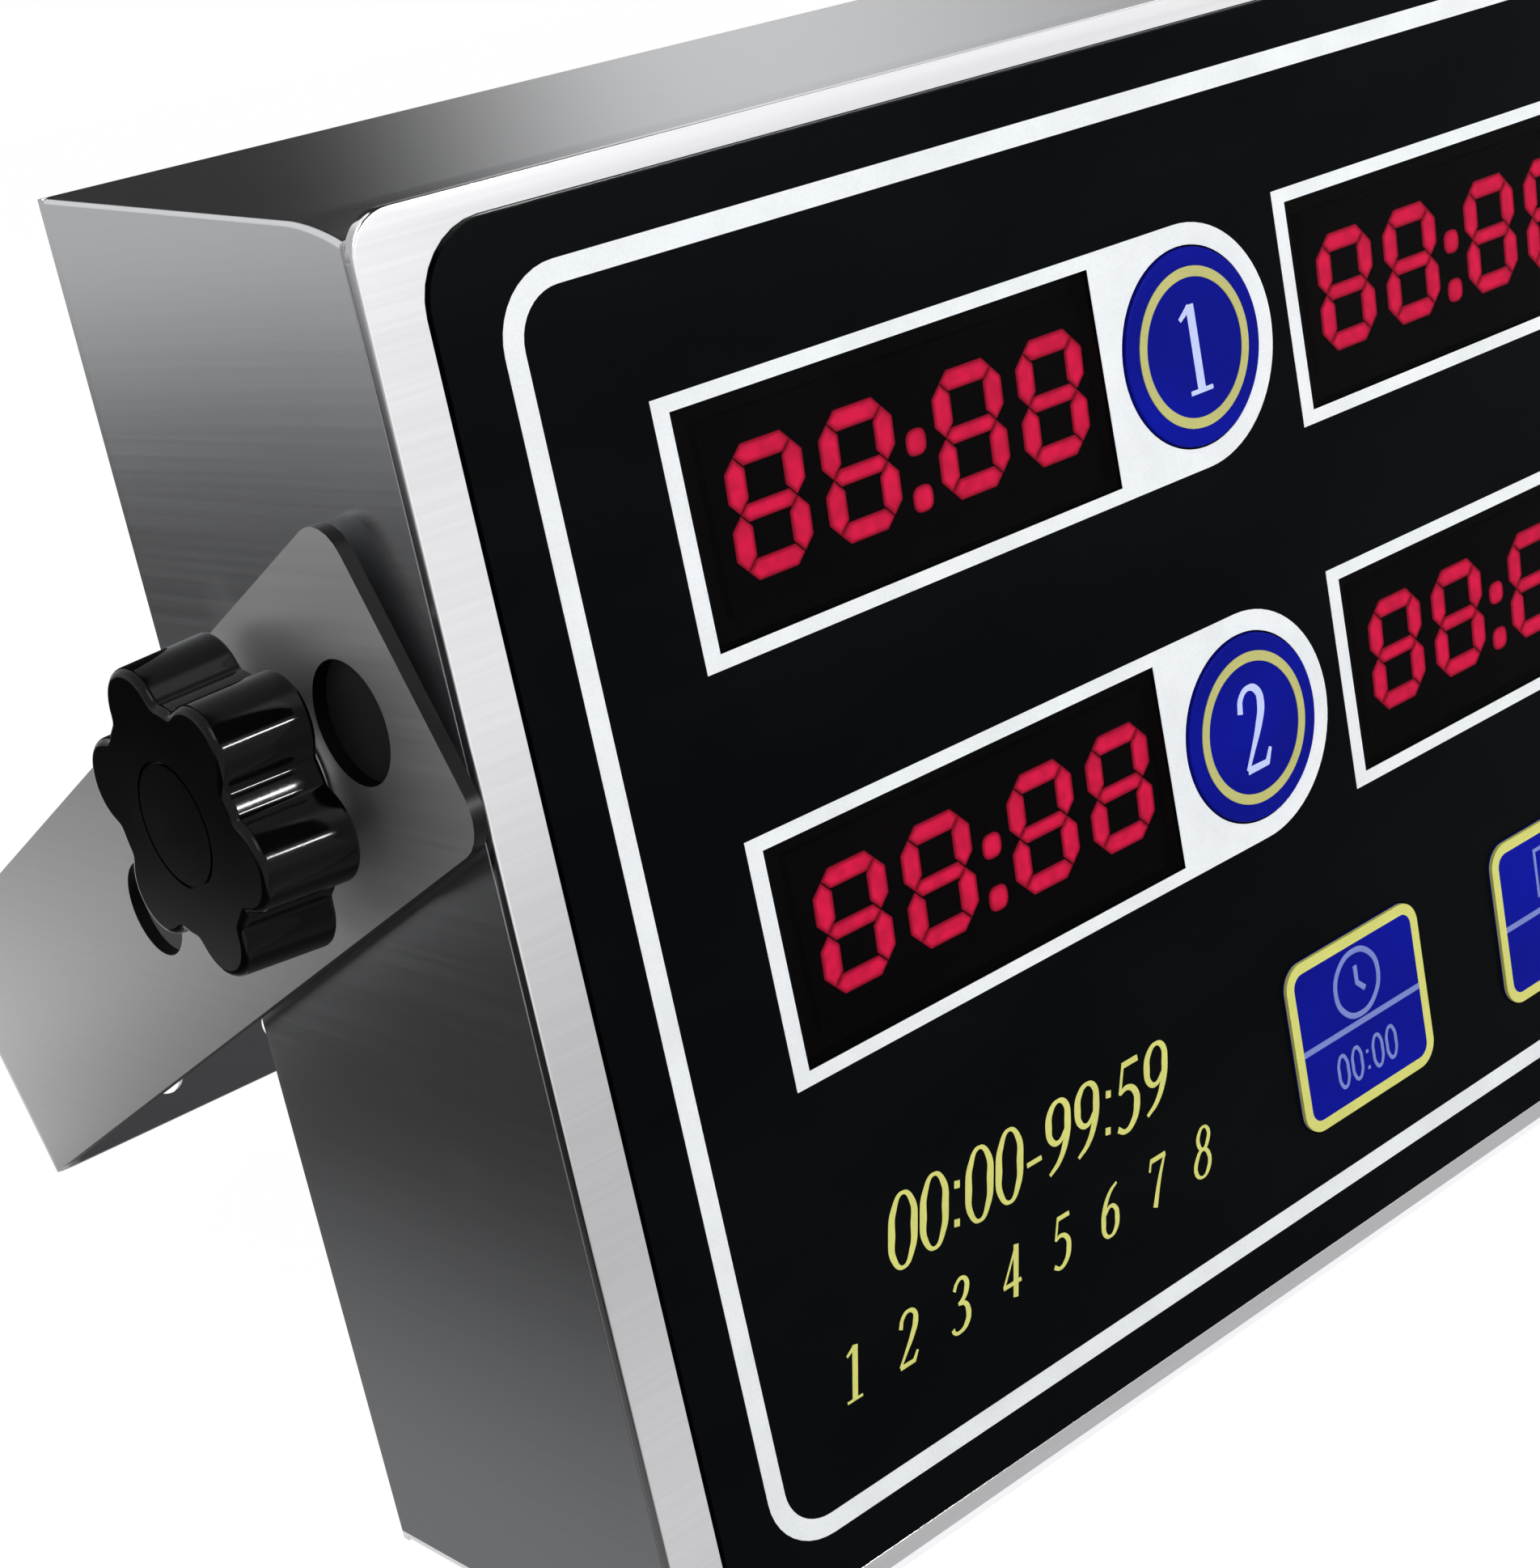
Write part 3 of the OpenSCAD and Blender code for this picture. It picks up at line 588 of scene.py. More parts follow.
# Ink drawn in strokes: each stroke is [closed or open, curved or straight, points of x, z, half width]
def drawn(name, strokes, front, flatness=0.07):
    data = bpy.data.curves.new(name, "CURVE")
    data.dimensions = "3D"
    data.bevel_depth = 1.0
    data.bevel_resolution = 2
    data.resolution_u = 10
    data.use_fill_caps = True
    for closed, curved, points in strokes:
        line = data.splines.new("BEZIER")
        line.bezier_points.add(len(points) - 1)
        line.use_cyclic_u = closed
        for knot, (x, z, half) in zip(line.bezier_points, points):
            knot.co = (x, z, 0)
            knot.radius = half
            knot.handle_left_type = knot.handle_right_type = "AUTO" if curved else "VECTOR"
    piece = layCurve(name, data, 0)
    piece.data.transform(Matrix.Translation((0, front, 0)) @ Matrix.Diagonal((1, flatness, 1, 1)))
    return piece


# Camera at the photograph's viewing angle
cameraLook = {"place": (-0.33029, -0.23581, 0.16663), "heading": 37.2006, "pitch": -16.9921, "roll": -11.9143,
              "lens": 64.65, "sensor": 36.0, "near": 0.01}


def makeCamera():
    look = cameraLook
    data = bpy.data.cameras.new("camera")
    data.lens = look["lens"]
    data.sensor_width = look["sensor"]
    data.clip_start = look["near"]
    camera = bpy.data.objects.new("camera", data)
    heading = Matrix.Rotation(math.radians(-look["heading"]), 4, "Z")
    pitch = Matrix.Rotation(math.radians(90 + look["pitch"]), 4, "X")
    roll = Matrix.Rotation(math.radians(look["roll"]), 4, "Z")
    camera.matrix_world = Matrix.Translation(look["place"]) @ heading @ pitch @ roll
    bpy.context.scene.collection.objects.link(camera)
    bpy.context.scene.camera = camera


# Floor, world and lamps; the background is white where it is seen or mirrored
stageLook = {"floorSize": 12.0, "floorTone": 0.86, "floorRough": 0.9, "floorWhite": 0.86, "whiteLevel": 1.1,
             "ambient": 0.41}
lampLook = {
    "keyLamp": {"place": (-0.9, -1.1, 1.3), "aim": (0, 0, 0.08), "size": (0.9, 0.9), "power": 6.6},
    "stripLamp": {"place": (0.29, -1.07, 0.3), "aim": (-0.2, 0, 0.09), "size": (0.3, 0.03), "power": 6.0},
    "backLamp": {"place": (1.5, 0.7, 1.1), "aim": (0, 0, 0.08), "size": (0.9, 0.9), "power": 5.0},
}

# Studio cards that only metal and gloss mirror: a card's light changes along an axis, x unless it says
# another, by a rise between a start and an end
cardLook = {
    "sideCard": {"low": (-5.0, -0.03, 0.001), "high": (-0.2, 4.0, 0.001),
                 "level": 0.03, "steps": [(-0.28, -0.208, 0.2), (-0.42, -1.3, 0.78)]},
    "farCard": {"low": (-4.0, 4.0, 0.0), "high": (-0.8, 4.0, 1.0), "axis": (0, 0, 1), "level": 0.5,
                "steps": [(0.0, 1.0, 0.4)]},
    "armCard": {"low": (-0.4, 0.215, 0.002), "high": (-0.12, 0.5, 0.002),
                "level": 0.05, "steps": [(-0.37, -0.25, 1.1)]},
    "bendCard": {"low": (-0.257, 0.164, 0.0025), "high": (-0.15, 0.215, 0.0025),
                 "level": 0.2, "steps": [(-0.257, -0.238, 1.0)]},
    "topCard": {"low": (-0.1, 0.9, 0.0), "high": (2.2, 0.9, 1.2), "axis": (1, 0, -0.35), "level": 0.03,
                "steps": [(0.207, 0.447, 0.72), (0.487, 0.867, -0.32)]},
    "backCard": {"low": (-0.19, 0.03, 0.0015), "high": (1.6, 0.9, 0.0015),
                 "level": 0.12, "steps": [(-0.15, 0.5, 0.38)]},
    "frontCard": {"low": (-0.3, -2.6, 0.001), "high": (3.0, -0.02, 0.001), "axis": (0, 1, 0), "level": 0.5,
                  "steps": [(-0.028, -0.05, 0.15), (-0.05, -0.125, -0.11), (-0.125, -0.4, 0.33),
                            (-1.1, -2.2, 0.1)]},
    "upperCard": {"low": (-0.3, -0.9, 0.4), "high": (1.1, -0.9, 1.5), "level": 0.03, "steps": []},
    "overCard": {"low": (0.0, -0.9, 1.5), "high": (1.6, 1.4, 1.5), "level": 0.02, "steps": []},
}


# 1 for rays that come from the camera, a mirror or a lens, and else 0
def seenShare(start):
    kinds = ("Camera", "Glossy", "Transmission")
    rays = [start.node("LightPath", {}, {}, f"Is {kind} Ray") for kind in kinds]
    return start.maths("MINIMUM", rays[0] + rays[1] + rays[2], 1.0)


def makeStage():
    world = bpy.data.worlds.new("studio")
    bpy.context.scene.world = world
    world.use_nodes = True
    seen = seenShare(Wire(world.node_tree))
    strength = stageLook["ambient"] + seen * (1 - stageLook["ambient"])
    background = world.node_tree.nodes["Background"]
    background.inputs["Color"].default_value = (1, 1, 1, 1)
    world.node_tree.links.new(strength.socket, background.inputs["Strength"])
    side = stageLook["floorSize"]
    floor = plane((side, side), (0, 0, cadBounds[0].z))
    floor.name = "floor"
    grey = stageLook["floorTone"]
    paper, start = newFinish("paleFloor", {"Base Color": (grey, grey, grey, 1), "Specular IOR Level": 0.0,
                                           "Roughness": stageLook["floorRough"]})
    tree = paper.node_tree
    lit = Wire(tree, tree.nodes["Principled BSDF"].outputs[0])
    white = start.node("Emission", {}, {"Color": (1, 1, 1, 1), "Strength": stageLook["whiteLevel"]})
    mixed = start.node("MixShader", {}, {0: seenShare(start) * stageLook["floorWhite"], 1: lit, 2: white})
    tree.links.new(mixed.socket, tree.nodes["Material Output"].inputs["Surface"])
    floor.data.materials.append(paper)
    for name, look in lampLook.items():
        data = bpy.data.lights.new(name, "AREA")
        data.energy = look["power"]
        data.shape = "RECTANGLE"
        data.size = look["size"][0]
        data.size_y = look["size"][1]
        lamp = bpy.data.objects.new(name, data)
        lamp.location = look["place"]
        aim = Vector(look["aim"]) - Vector(look["place"])
        lamp.rotation_euler = aim.to_track_quat("-Z", "Y").to_euler()
        bpy.context.scene.collection.objects.link(lamp)
    bpy.context.scene.view_settings.view_transform = "Standard"


def makeCards():
    for name, look in cardLook.items():
        low = Vector(look["low"])
        high = Vector(look["high"])
        flat = low.z == high.z
        size = (high.x - low.x, high.y - low.y if flat else high.z - low.z)
        card = plane(size, (low + high) / 2, (0, 0, 0) if flat else facingFront)
        card.name = name
        level = look["level"]
        finish, place = newFinish(name, {"Base Color": (0, 0, 0, 1), "Specular IOR Level": 0.0,
                                         "Emission Color": (level, level, level, 1),
                                         "Emission Strength": 1.0})
        along = runOf(place, look.get("axis", (1, 0, 0)))
        for start, end, rise in look["steps"]:
            level = level + along.ease(start, end) * rise
        if look["steps"]:
            drive(finish, {"Emission Color": level})
        card.data.materials.append(finish)
        for ray in ("camera", "diffuse", "transmission", "shadow"):
            setattr(card, f"visible_{ray}", False)


makeCamera()
makeStage()
makeCards()
print("stage: camera, floor,", len(lampLook), "lamps and", len(cardLook), "cards")

# Case: a folded sheet with a sloping top that rolls down at the front
caseLook = {"slope": 5.6, "rollSteps": 10, "foldSteps": 4,
            **lengths(rollRadius=24, rollLength=8, sheet=1, flange=10, fold=0.6, edgeRound=0.3, ridgeGap=0.1)}


# The edges where a side of the case folds into its top, roll or underside
def isSideFold(edge):
    aside = [abs(face.normal.x) > nearlyAlong for face in edge.link_faces]
    ahead = [abs(face.normal.y) > nearlyAlong for face in edge.link_faces]
    return sum(aside) == 1 and not any(ahead)


def makeCase():
    look = caseLook
    low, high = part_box("housing_shell")
    slope = math.radians(look["slope"])
    turn = math.asin(look["rollLength"] / look["rollRadius"] + math.sin(slope))
    reach = look["rollRadius"] * math.tan((turn - slope) / 2)
    ridgeY = low.y + reach * math.cos(turn)
    ridgeZ = high.z - (high.y - ridgeY) * math.tan(slope)
    piece = block(low, high)
    editPiece(piece)
    for point, angle in (((0, high.y, high.z), slope), ((0, ridgeY, ridgeZ), turn)):
        bpy.ops.mesh.select_all(action="SELECT")
        bpy.ops.mesh.bisect(plane_co=point, plane_no=(0, -math.sin(angle), math.cos(angle)),
                            use_fill=True, clear_outer=True)
    pick("EDGE", lambda edge: edgeRuns(edge, 0) and isNear(edgeMiddle(edge).y, ridgeY, look["ridgeGap"])
         and isNear(edgeMiddle(edge).z, ridgeZ, look["ridgeGap"]))
    bpy.ops.mesh.bevel(offset=reach, segments=look["rollSteps"], profile=0.5)
    for side in (-1, 1):
        pick("FACE", lambda face: face.normal.y * side > nearlyAlong)
        bpy.ops.mesh.inset(thickness=look["flange"])
        bpy.ops.mesh.delete(type="FACE")
    piece = leaveEdit()
    thicken(piece, look["sheet"])
    editPiece(piece)
    pick("EDGE", lambda edge: isSideFold(edge) and isNear(abs(edgeMiddle(edge).x), high.x))
    bpy.ops.mesh.bevel(offset=look["fold"], segments=look["foldSteps"], profile=0.5)
    piece = leaveEdit()
    roundEdges(piece, look["edgeRound"])
    seat(piece, "caseShell", "caseSteel", "case", ["housing_shell"])


# Front frame round the panel
frameLook = lengths(outerCorner=4.2, innerCorner=7.7, gap=0.2, edgeRound=0.35)


def makeFrontFrame():
    look = frameLook
    low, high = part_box("bezel_frame")
    opening = [side + 2 * look["gap"] for side in sizeOf("front_panel")]
    outer = frontPlate(middleOf("bezel_frame"), sizeOf("bezel_frame"), look["outerCorner"], low.y)
    inner = frontPlate(middleOf("front_panel"), opening, look["innerCorner"], low.y)
    piece = frontRing(outer, inner)
    thicken(piece, high.y - low.y)
    roundEdges(piece, look["edgeRound"])
    seat(piece, "frontFrame", "frameSteel", "case", ["bezel_frame"])


makeCase()
makeFrontFrame()
print("case: shell and front frame")

# White print on the panel: a frame line and a field round each window and its key
printLook = {"endSteps": 36,
             **lengths(thick=0.06, frameSide=6.4, frameTop=5.2, frameBottom=5.6, frameLine=2.25,
                       frameCorner=7.3, windowLine=1.55, leftLine=2, windowLeft=4, windowRight=0.4,
                       windowRise=2.3, keyHole=11)}


def windowBox(channel):
    look = printLook
    low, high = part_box(f"display_module_{channel}")
    rise = look["windowRise"]
    return ((low.x - look["windowLeft"], low.z - rise),
            (high.x + look["windowRight"], high.z + rise))


def makePanelPrint():
    look = printLook
    low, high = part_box("front_panel")
    front = low.y
    outerLow = (low.x + look["frameSide"], low.z + look["frameBottom"])
    outerHigh = (high.x - look["frameSide"], high.z - look["frameTop"])
    line = look["frameLine"]
    innerLow = (outerLow[0] + line, outerLow[1] + line)
    innerHigh = (outerHigh[0] - line, outerHigh[1] - line)
    corner = look["frameCorner"]
    loops = [boxLoop(outerLow, outerHigh, corner), boxLoop(innerLow, innerHigh, corner - line)]
    piece = printed("frameLine", loops, front, look["thick"])
    seat(piece, "frameLine", "inkWhite", "case")
    for channel in channels:
        windowLow, windowHigh = windowBox(channel)
        key = middleOf(f"channel_key_{channel}")
        edge = look["windowLine"]
        half = windowHigh[1] - key[1] + edge
        left = windowLow[0] - look["leftLine"]
        outline = [(left, key[1] + half), (left, key[1] - half)]
        outline += arc(key, half, -90, 90, look["endSteps"])
        loops = [outline, boxLoop(windowLow, windowHigh), ringLoop(key, look["keyHole"])]
        piece = printed(f"windowField_{channel}", loops, front, look["thick"])
        seat(piece, f"windowField_{channel}", "inkWhite", "case")


makePanelPrint()
print("panel: frame line and window fields")

# Four lit digits and a colon on each display module
digitLook = {"slant": 4.0, "dotSteps": 4, "dotRises": (0.75 * mm, -5.0 * mm), "shift": (0.6 * mm, -0.3 * mm),
             **lengths(height=13.3, width=9.9, pitch=12.2, colonRoom=3.4, bar=2.1, middleBar=1.7, sideBar=2.5,
                       gap=0.12, core=0.55, thick=0.12, dot=2.7, dotCorner=1.0)}


# Sets a bright core into a flat lit shape, and gives the shape its thickness
def lightUp(piece):
    editPiece(piece)
    bpy.ops.mesh.inset(thickness=digitLook["core"])
    shape = bmesh.from_edit_mesh(piece.data)
    glow = shape.verts.layers.float.new("glow")
    for point in shape.verts:
        point[glow] = 0.0 if point.is_boundary else 1.0
    bmesh.update_edit_mesh(piece.data)
    piece = leaveEdit()
    thicken(piece, digitLook["thick"])
    return piece


# One bar with pointed ends, lying along x about the origin
def segmentBar(length, width):
    piece = plane((length - width, width), turn=facingFront)
    editPiece(piece)
    pick("EDGE", lambda edge: edgeRuns(edge, 2))
    bpy.ops.mesh.subdivide(number_cuts=1)
    pick("VERT", lambda point: isNear(point.co.z, 0))
    bpy.ops.transform.resize(value=(length / (length - width), 1, 1))
    return lightUp(leaveEdit())


def makeDigits():
    look = digitLook
    across = (look["width"] - look["sideBar"]) / 2
    up = (look["height"] - look["bar"]) / 2
    level = segmentBar(2 * (across - look["gap"]), look["bar"])
    upright = segmentBar(up - 2 * look["gap"], look["sideBar"])
    upright.data.transform(Matrix.Rotation(math.pi / 2, 4, "Y"))
    middle = segmentBar(2 * (across - look["gap"]), look["middleBar"])
    dot = lightUp(frontPlate((0, 0), (look["dot"], look["dot"]), look["dotCorner"], 0, look["dotSteps"]))
    parts = []
    span = 3 * look["pitch"] + look["colonRoom"]
    for digit in range(4):
        x = digit * look["pitch"] + (look["colonRoom"] if digit > 1 else 0) - span / 2
        places = [(level, x, -up), (middle, x, 0), (level, x, up)]
        places += [(upright, x + side * across, z) for side in (-1, 1) for z in (-up / 2, up / 2)]
        parts += [copyPiece(part, "bar", Matrix.Translation((place, 0, z))) for part, place, z in places]
    parts += [copyPiece(dot, "dot", Matrix.Translation((0, 0, rise))) for rise in look["dotRises"]]
    for pattern in (level, middle, upright, dot):
        bpy.data.objects.remove(pattern)
    pattern = joinPieces(parts)
    pattern.data.transform(Matrix.Shear("XY", 4, (math.tan(math.radians(look["slant"])), 0)))
    for channel in channels:
        centre = middleOf(f"display_module_{channel}")
        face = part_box(f"display_module_{channel}")[0].y
        place = (centre[0] + look["shift"][0], face - look["thick"], centre[1] + look["shift"][1])
        piece = copyPiece(pattern, f"digits_{channel}", Matrix.Translation(place))
        seat(piece, f"digits_{channel}", "ledRed", "case")
    bpy.data.objects.remove(pattern)


makeDigits()
print("displays: lit digits")


# Four kinds of stroke: each says whether it is closed and whether it is curved, and lists its points
def bar(*points):
    return [False, False, points]


def bow(*points):
    return [False, True, points]


def loop(*points):
    return [True, True, points]


def polygon(*points):
    return [True, False, points]


# Numerals and marks in strokes of x, z and half width, on a height of 1
thin = 0.026
thick = 0.062
numerals = {
    "0": [loop((0.25, 0.98, thin), (0.42, 0.8, 0.05), (0.45, 0.5, thick), (0.42, 0.2, 0.05),
               (0.25, 0.02, thin), (0.08, 0.2, 0.05), (0.05, 0.5, thick), (0.08, 0.8, 0.05))],
    "1": [bar((0.26, 0.02, thick), (0.26, 0.97, thick)),
          bar((0.08, 0.025, thin), (0.44, 0.025, thin)),
          bar((0.07, 0.83, thin), (0.25, 0.95, 0.04))],
    "2": [bow((0.05, 0.72, 0.045), (0.1, 0.9, 0.04), (0.24, 0.975, 0.035), (0.38, 0.9, 0.05),
              (0.41, 0.74, thick), (0.33, 0.52, 0.055), (0.18, 0.27, 0.035), (0.04, 0.05, thin)),
          bar((0.04, 0.045, 0.045), (0.38, 0.045, 0.045), (0.46, 0.2, thin))],
    "3": [bow((0.06, 0.8, 0.04), (0.13, 0.93, 0.035), (0.25, 0.975, 0.035), (0.36, 0.88, 0.055),
              (0.37, 0.74, 0.06), (0.3, 0.6, 0.045), (0.17, 0.53, thin)),
          bow((0.17, 0.53, thin), (0.33, 0.49, 0.045), (0.42, 0.32, thick), (0.38, 0.12, 0.055),
              (0.22, 0.025, 0.035), (0.09, 0.05, 0.035), (0.03, 0.14, 0.045))],
    "4": [bar((0.33, 0.02, thick), (0.33, 0.97, thick)),
          bar((0.33, 0.96, thin), (0.03, 0.31, thin)),
          bar((0.01, 0.29, 0.04), (0.47, 0.29, 0.04))],
    "5": [bar((0.1, 0.94, 0.045), (0.42, 0.94, 0.045)),
          bar((0.12, 0.95, thin), (0.07, 0.56, thin)),
          bow((0.07, 0.57, thin), (0.22, 0.61, 0.04), (0.38, 0.5, 0.055), (0.42, 0.3, thick),
              (0.35, 0.1, 0.05), (0.19, 0.02, 0.035), (0.04, 0.1, 0.045))],
    "6": [bow((0.4, 0.96, thin), (0.22, 0.84, 0.04), (0.09, 0.6, 0.055), (0.06, 0.34, thick),
              (0.11, 0.1, 0.05), (0.25, 0.02, 0.03), (0.4, 0.12, 0.05), (0.43, 0.31, thick),
              (0.38, 0.5, 0.05), (0.25, 0.58, 0.035), (0.09, 0.45, thin))],
    "7": [bar((0.05, 0.93, 0.05), (0.46, 0.93, 0.05)),
          bar((0.06, 0.95, thin), (0.03, 0.74, thin)),
          bow((0.44, 0.93, thin), (0.3, 0.5, 0.045), (0.2, 0.02, thick))],
    "8": [loop((0.25, 0.98, thin), (0.38, 0.88, 0.045), (0.38, 0.68, 0.05), (0.25, 0.55, 0.035),
               (0.12, 0.68, 0.05), (0.12, 0.88, 0.045)),
          loop((0.25, 0.55, 0.035), (0.41, 0.42, 0.05), (0.42, 0.14, 0.05), (0.25, 0.02, thin),
               (0.08, 0.14, 0.05), (0.09, 0.42, 0.05))],
    ":": [bar((0.1, 0.62, 0.05), (0.1, 0.72, 0.05)),
          bar((0.1, 0.12, 0.05), (0.1, 0.22, 0.05))],
    "-": [bar((0.02, 0.36, 0.035), (0.3, 0.36, 0.035))],
    "+": [bar((0.05, 0.45, 0.05), (0.55, 0.45, 0.05)),
          bar((0.3, 0.2, 0.05), (0.3, 0.7, 0.05))],
    " ": [],
}
# A nine is a six turned half round
numerals["9"] = [[closed, curved, [(0.48 - x, 1 - z, half) for x, z, half in points]]
                 for closed, curved, points in numerals["6"]]
widths = {**{sign: 0.5 for sign in "0123456789"}, ":": 0.2, "-": 0.32, " ": 0.2, "+": 0.6}


# Strokes of a line of numerals about a middle, with its letters leaning by slant degrees
def lineOfNumerals(text, centre, height, slant=0.0, spacing=0.12):
    advance = [widths[sign] + spacing for sign in text]
    start = -(sum(advance) - spacing) / 2
    lean = math.tan(math.radians(slant))
    strokes = []
    for sign, room in zip(text, advance):
        for closed, curved, points in numerals[sign]:
            moved = [(centre[0] + height * (start + x + lean * (z - 0.5)), centre[1] + height * (z - 0.5),
                      height * half) for x, z, half in points]
            strokes.append([closed, curved, moved])
        start += room
    return strokes


# What every key has behind the panel: a lip, a stem and the plunger of its switch
keyBackLook = {"turnSteps": 48,
               **lengths(lipGap=0.05, lip=1.1, stem=1, stemRadius=2.5, plungerRadius=1.75)}


# Depths of a lip's front and back and of a stem's end
def lipDepths():
    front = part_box("front_panel")[1].y + keyBackLook["lipGap"]
    back = front + keyBackLook["lip"]
    return front, back, back + keyBackLook["stem"]


def stemProfile(start, stemEnd, end):
    stem = keyBackLook["stemRadius"]
    plunger = keyBackLook["plungerRadius"]
    return [(stem, start), (stem, stemEnd), (plunger, stemEnd), (plunger, end), (0, end)]


# Channel keys: turned blue discs on a stem, with a yellow ring and a pale numeral
channelKeyLook = {"edgeShare": 0.3, "domeShare": 0.25, "domeAt": 0.5,
                  **lengths(radius=10.8, lipRadius=12.5, edge=0.35, dome=0.08, ringOuter=8.75, ringInner=7.6,
                            numeral=10, ink=0.05)}


def makeChannelKeys():
    look = channelKeyLook
    radius = look["radius"]
    edge = look["edge"]
    lipFront, lipBack, stemEnd = lipDepths()
    for channel in channels:
        node = f"channel_key_{channel}"
        low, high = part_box(node)
        centre = middleOf(node)
        face = low.y
        rim = face + look["dome"]
        profile = [(0, face), (radius * look["domeAt"], face + look["dome"] * look["domeShare"]),
                   (radius - edge, rim), (radius - edge * look["edgeShare"], rim + edge * look["edgeShare"]),
                   (radius, rim + edge), (radius, lipFront),
                   (look["lipRadius"], lipFront), (look["lipRadius"], lipBack)]
        profile += stemProfile(lipBack, stemEnd, high.y)
        body = f"channel_{channel}"
        seat(turned(profile, centre), f"channelKey_{channel}", "keyBlue", body, [node])
        loops = [ringLoop(centre, look["ringOuter"]), ringLoop(centre, look["ringInner"])]
        front = face + look["dome"] / 2
        piece = printed("keyRing", loops, front, look["dome"] + look["ink"])
        seat(piece, f"keyRing_{channel}", "inkRing", body)
        piece = drawn("keyNumeral", lineOfNumerals(str(channel), centre, look["numeral"]), face)
        seat(piece, f"keyNumeral_{channel}", "inkNumeral", body)


# Function keys: blue plates with a yellow border, a dividing line, a sign and a plain mark
functionKeyLook = {"inkFlatness": 0.15,
                   **lengths(corner=3, edge=0.3, border=1.3, wrap=0.45, divider=0.75, dividerDrop=0.45,
                             lipWidth=1.7, ink=0.06, signRise=4.5, signRadius=4.0, markDrop=5.2,
                             markHeight=4.2, pen=0.36, markPen=0.24)}


# Signs in strokes of x and z, on a radius of 1
signs = [
    [loop(*ringLoop((0, 0), 1.0, 8)), bar((0, 0.55), (0, 0), (0.32, -0.3))],
    [polygon((-0.9, -0.75), (0.9, -0.75), (0.9, 0.75), (-0.9, 0.75)),
     bar((-0.5, 0.3), (0.5, 0.3)), bar((-0.5, -0.25), (0.5, -0.25))],
    [polygon((-0.8, -0.5), (0.8, -0.5), (0, 0.75))],
    [polygon((-0.8, 0.5), (0.8, 0.5), (0, -0.75))],
    [bow(*arc((0, 0), 0.85, 60, 360, 8)), bar((0.3, 0.1), (0.85, -0.02), (1.15, 0.45))],
    [polygon((-0.9, -0.3), (-0.5, -0.3), (0, -0.8), (0, 0.8), (-0.5, 0.3), (-0.9, 0.3)),
     bow(*arc((0, 0), 0.5, -45, 45, 4)), bow(*arc((0, 0), 0.95, -45, 45, 4))],
    [bow(*arc((0, 0), 0.85, -240, 60, 10)), bar((0, 0.1), (0, 1.05))],
]
marks = ["00:00", "1-8", "+", "-", "0", "0-9", "1-0"]


def makeFunctionKeys():
    look = functionKeyLook
    lipFront, lipBack, stemEnd = lipDepths()
    for key in functionKeys:
        node = f"function_key_{key}"
        low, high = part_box(node)
        centre = middleOf(node)
        lipSize = sizeOf(node)
        size = [side - 2 * look["lipWidth"] for side in lipSize]
        face = low.y
        cap = frontPlate(centre, size, look["corner"], face)
        thicken(cap, lipBack - face)
        roundEdges(cap, look["edge"])
        lip = frontPlate(centre, lipSize, look["corner"] + look["lipWidth"], lipFront)
        thicken(lip, keyBackLook["lip"])
        stem = turned([(0, lipFront)] + stemProfile(lipFront, stemEnd, high.y), centre,
                      keyBackLook["turnSteps"])
        body = f"function_{key}"
        seat(joinPieces([cap, lip, stem]), f"functionKey_{key}", "keyBlue", body, [node])
        half = (size[0] / 2, size[1] / 2)
        loops = []
        for out in (look["ink"] / 2, -look["border"]):
            reach = (half[0] + out, half[1] + out)
            loops.append(boxLoop((centre[0] - reach[0], centre[1] - reach[1]),
                                 (centre[0] + reach[0], centre[1] + reach[1]), look["corner"] + out))
        border = printed("keyBorder", loops, face + (look["wrap"] - look["ink"]) / 2, look["wrap"])
        roundEdges(border, look["wrap"] / 4, 2)
        seat(border, f"keyBorder_{key}", "inkYellow", body)
        level = centre[1] - look["dividerDrop"]
        reachX = half[0] - look["border"]
        loops = [boxLoop((centre[0] - reachX, level - look["divider"] / 2),
                         (centre[0] + reachX, level + look["divider"] / 2))]
        divider = printed("keyDivider", loops, face, look["ink"])
        seat(divider, f"keyDivider_{key}", "inkIcon", body)
        rise = centre[1] + look["signRise"]
        scale = look["signRadius"]
        strokes = []
        for closed, curved, points in signs[key - 1]:
            line = [(centre[0] + x * scale, rise + z * scale, look["pen"]) for x, z in points]
            strokes.append([closed, curved, line])
        mark = lineOfNumerals(marks[key - 1], (centre[0], centre[1] - look["markDrop"]), look["markHeight"])
        strokes += [[closed, curved, [(x, z, max(half, look["markPen"])) for x, z, half in points]]
                    for closed, curved, points in mark]
        sign = drawn("keySign", strokes, face, look["inkFlatness"])
        seat(sign, f"keySign_{key}", "inkIcon", body)


makeChannelKeys()
makeFunctionKeys()
print("keys:", len(channels), "channel keys and", len(functionKeys), "function keys")

# Yellow legend of plain numbers at the lower left of the panel
legendLook = {"upper": (-147.7 * mm, 35.8 * mm), "upperSpacing": 0.065, "lower": (-150 * mm, 24.2 * mm),
              "lowerSpacing": 0.3, "slant": 14.0,
              **lengths(upperHeight=8.1, lowerHeight=6)}


def makeLegend():
    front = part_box("front_panel")[0].y
    look = legendLook
    strokes = lineOfNumerals("00:00-99:59", look["upper"], look["upperHeight"], look["slant"],
                             look["upperSpacing"])
    strokes += lineOfNumerals("1 2 3 4 5 6 7 8", look["lower"], look["lowerHeight"], look["slant"],
                              look["lowerSpacing"])
    seat(drawn("legend", strokes, front), "legend", "inkYellow", "case")


makeLegend()
print("legend: plain numbers")

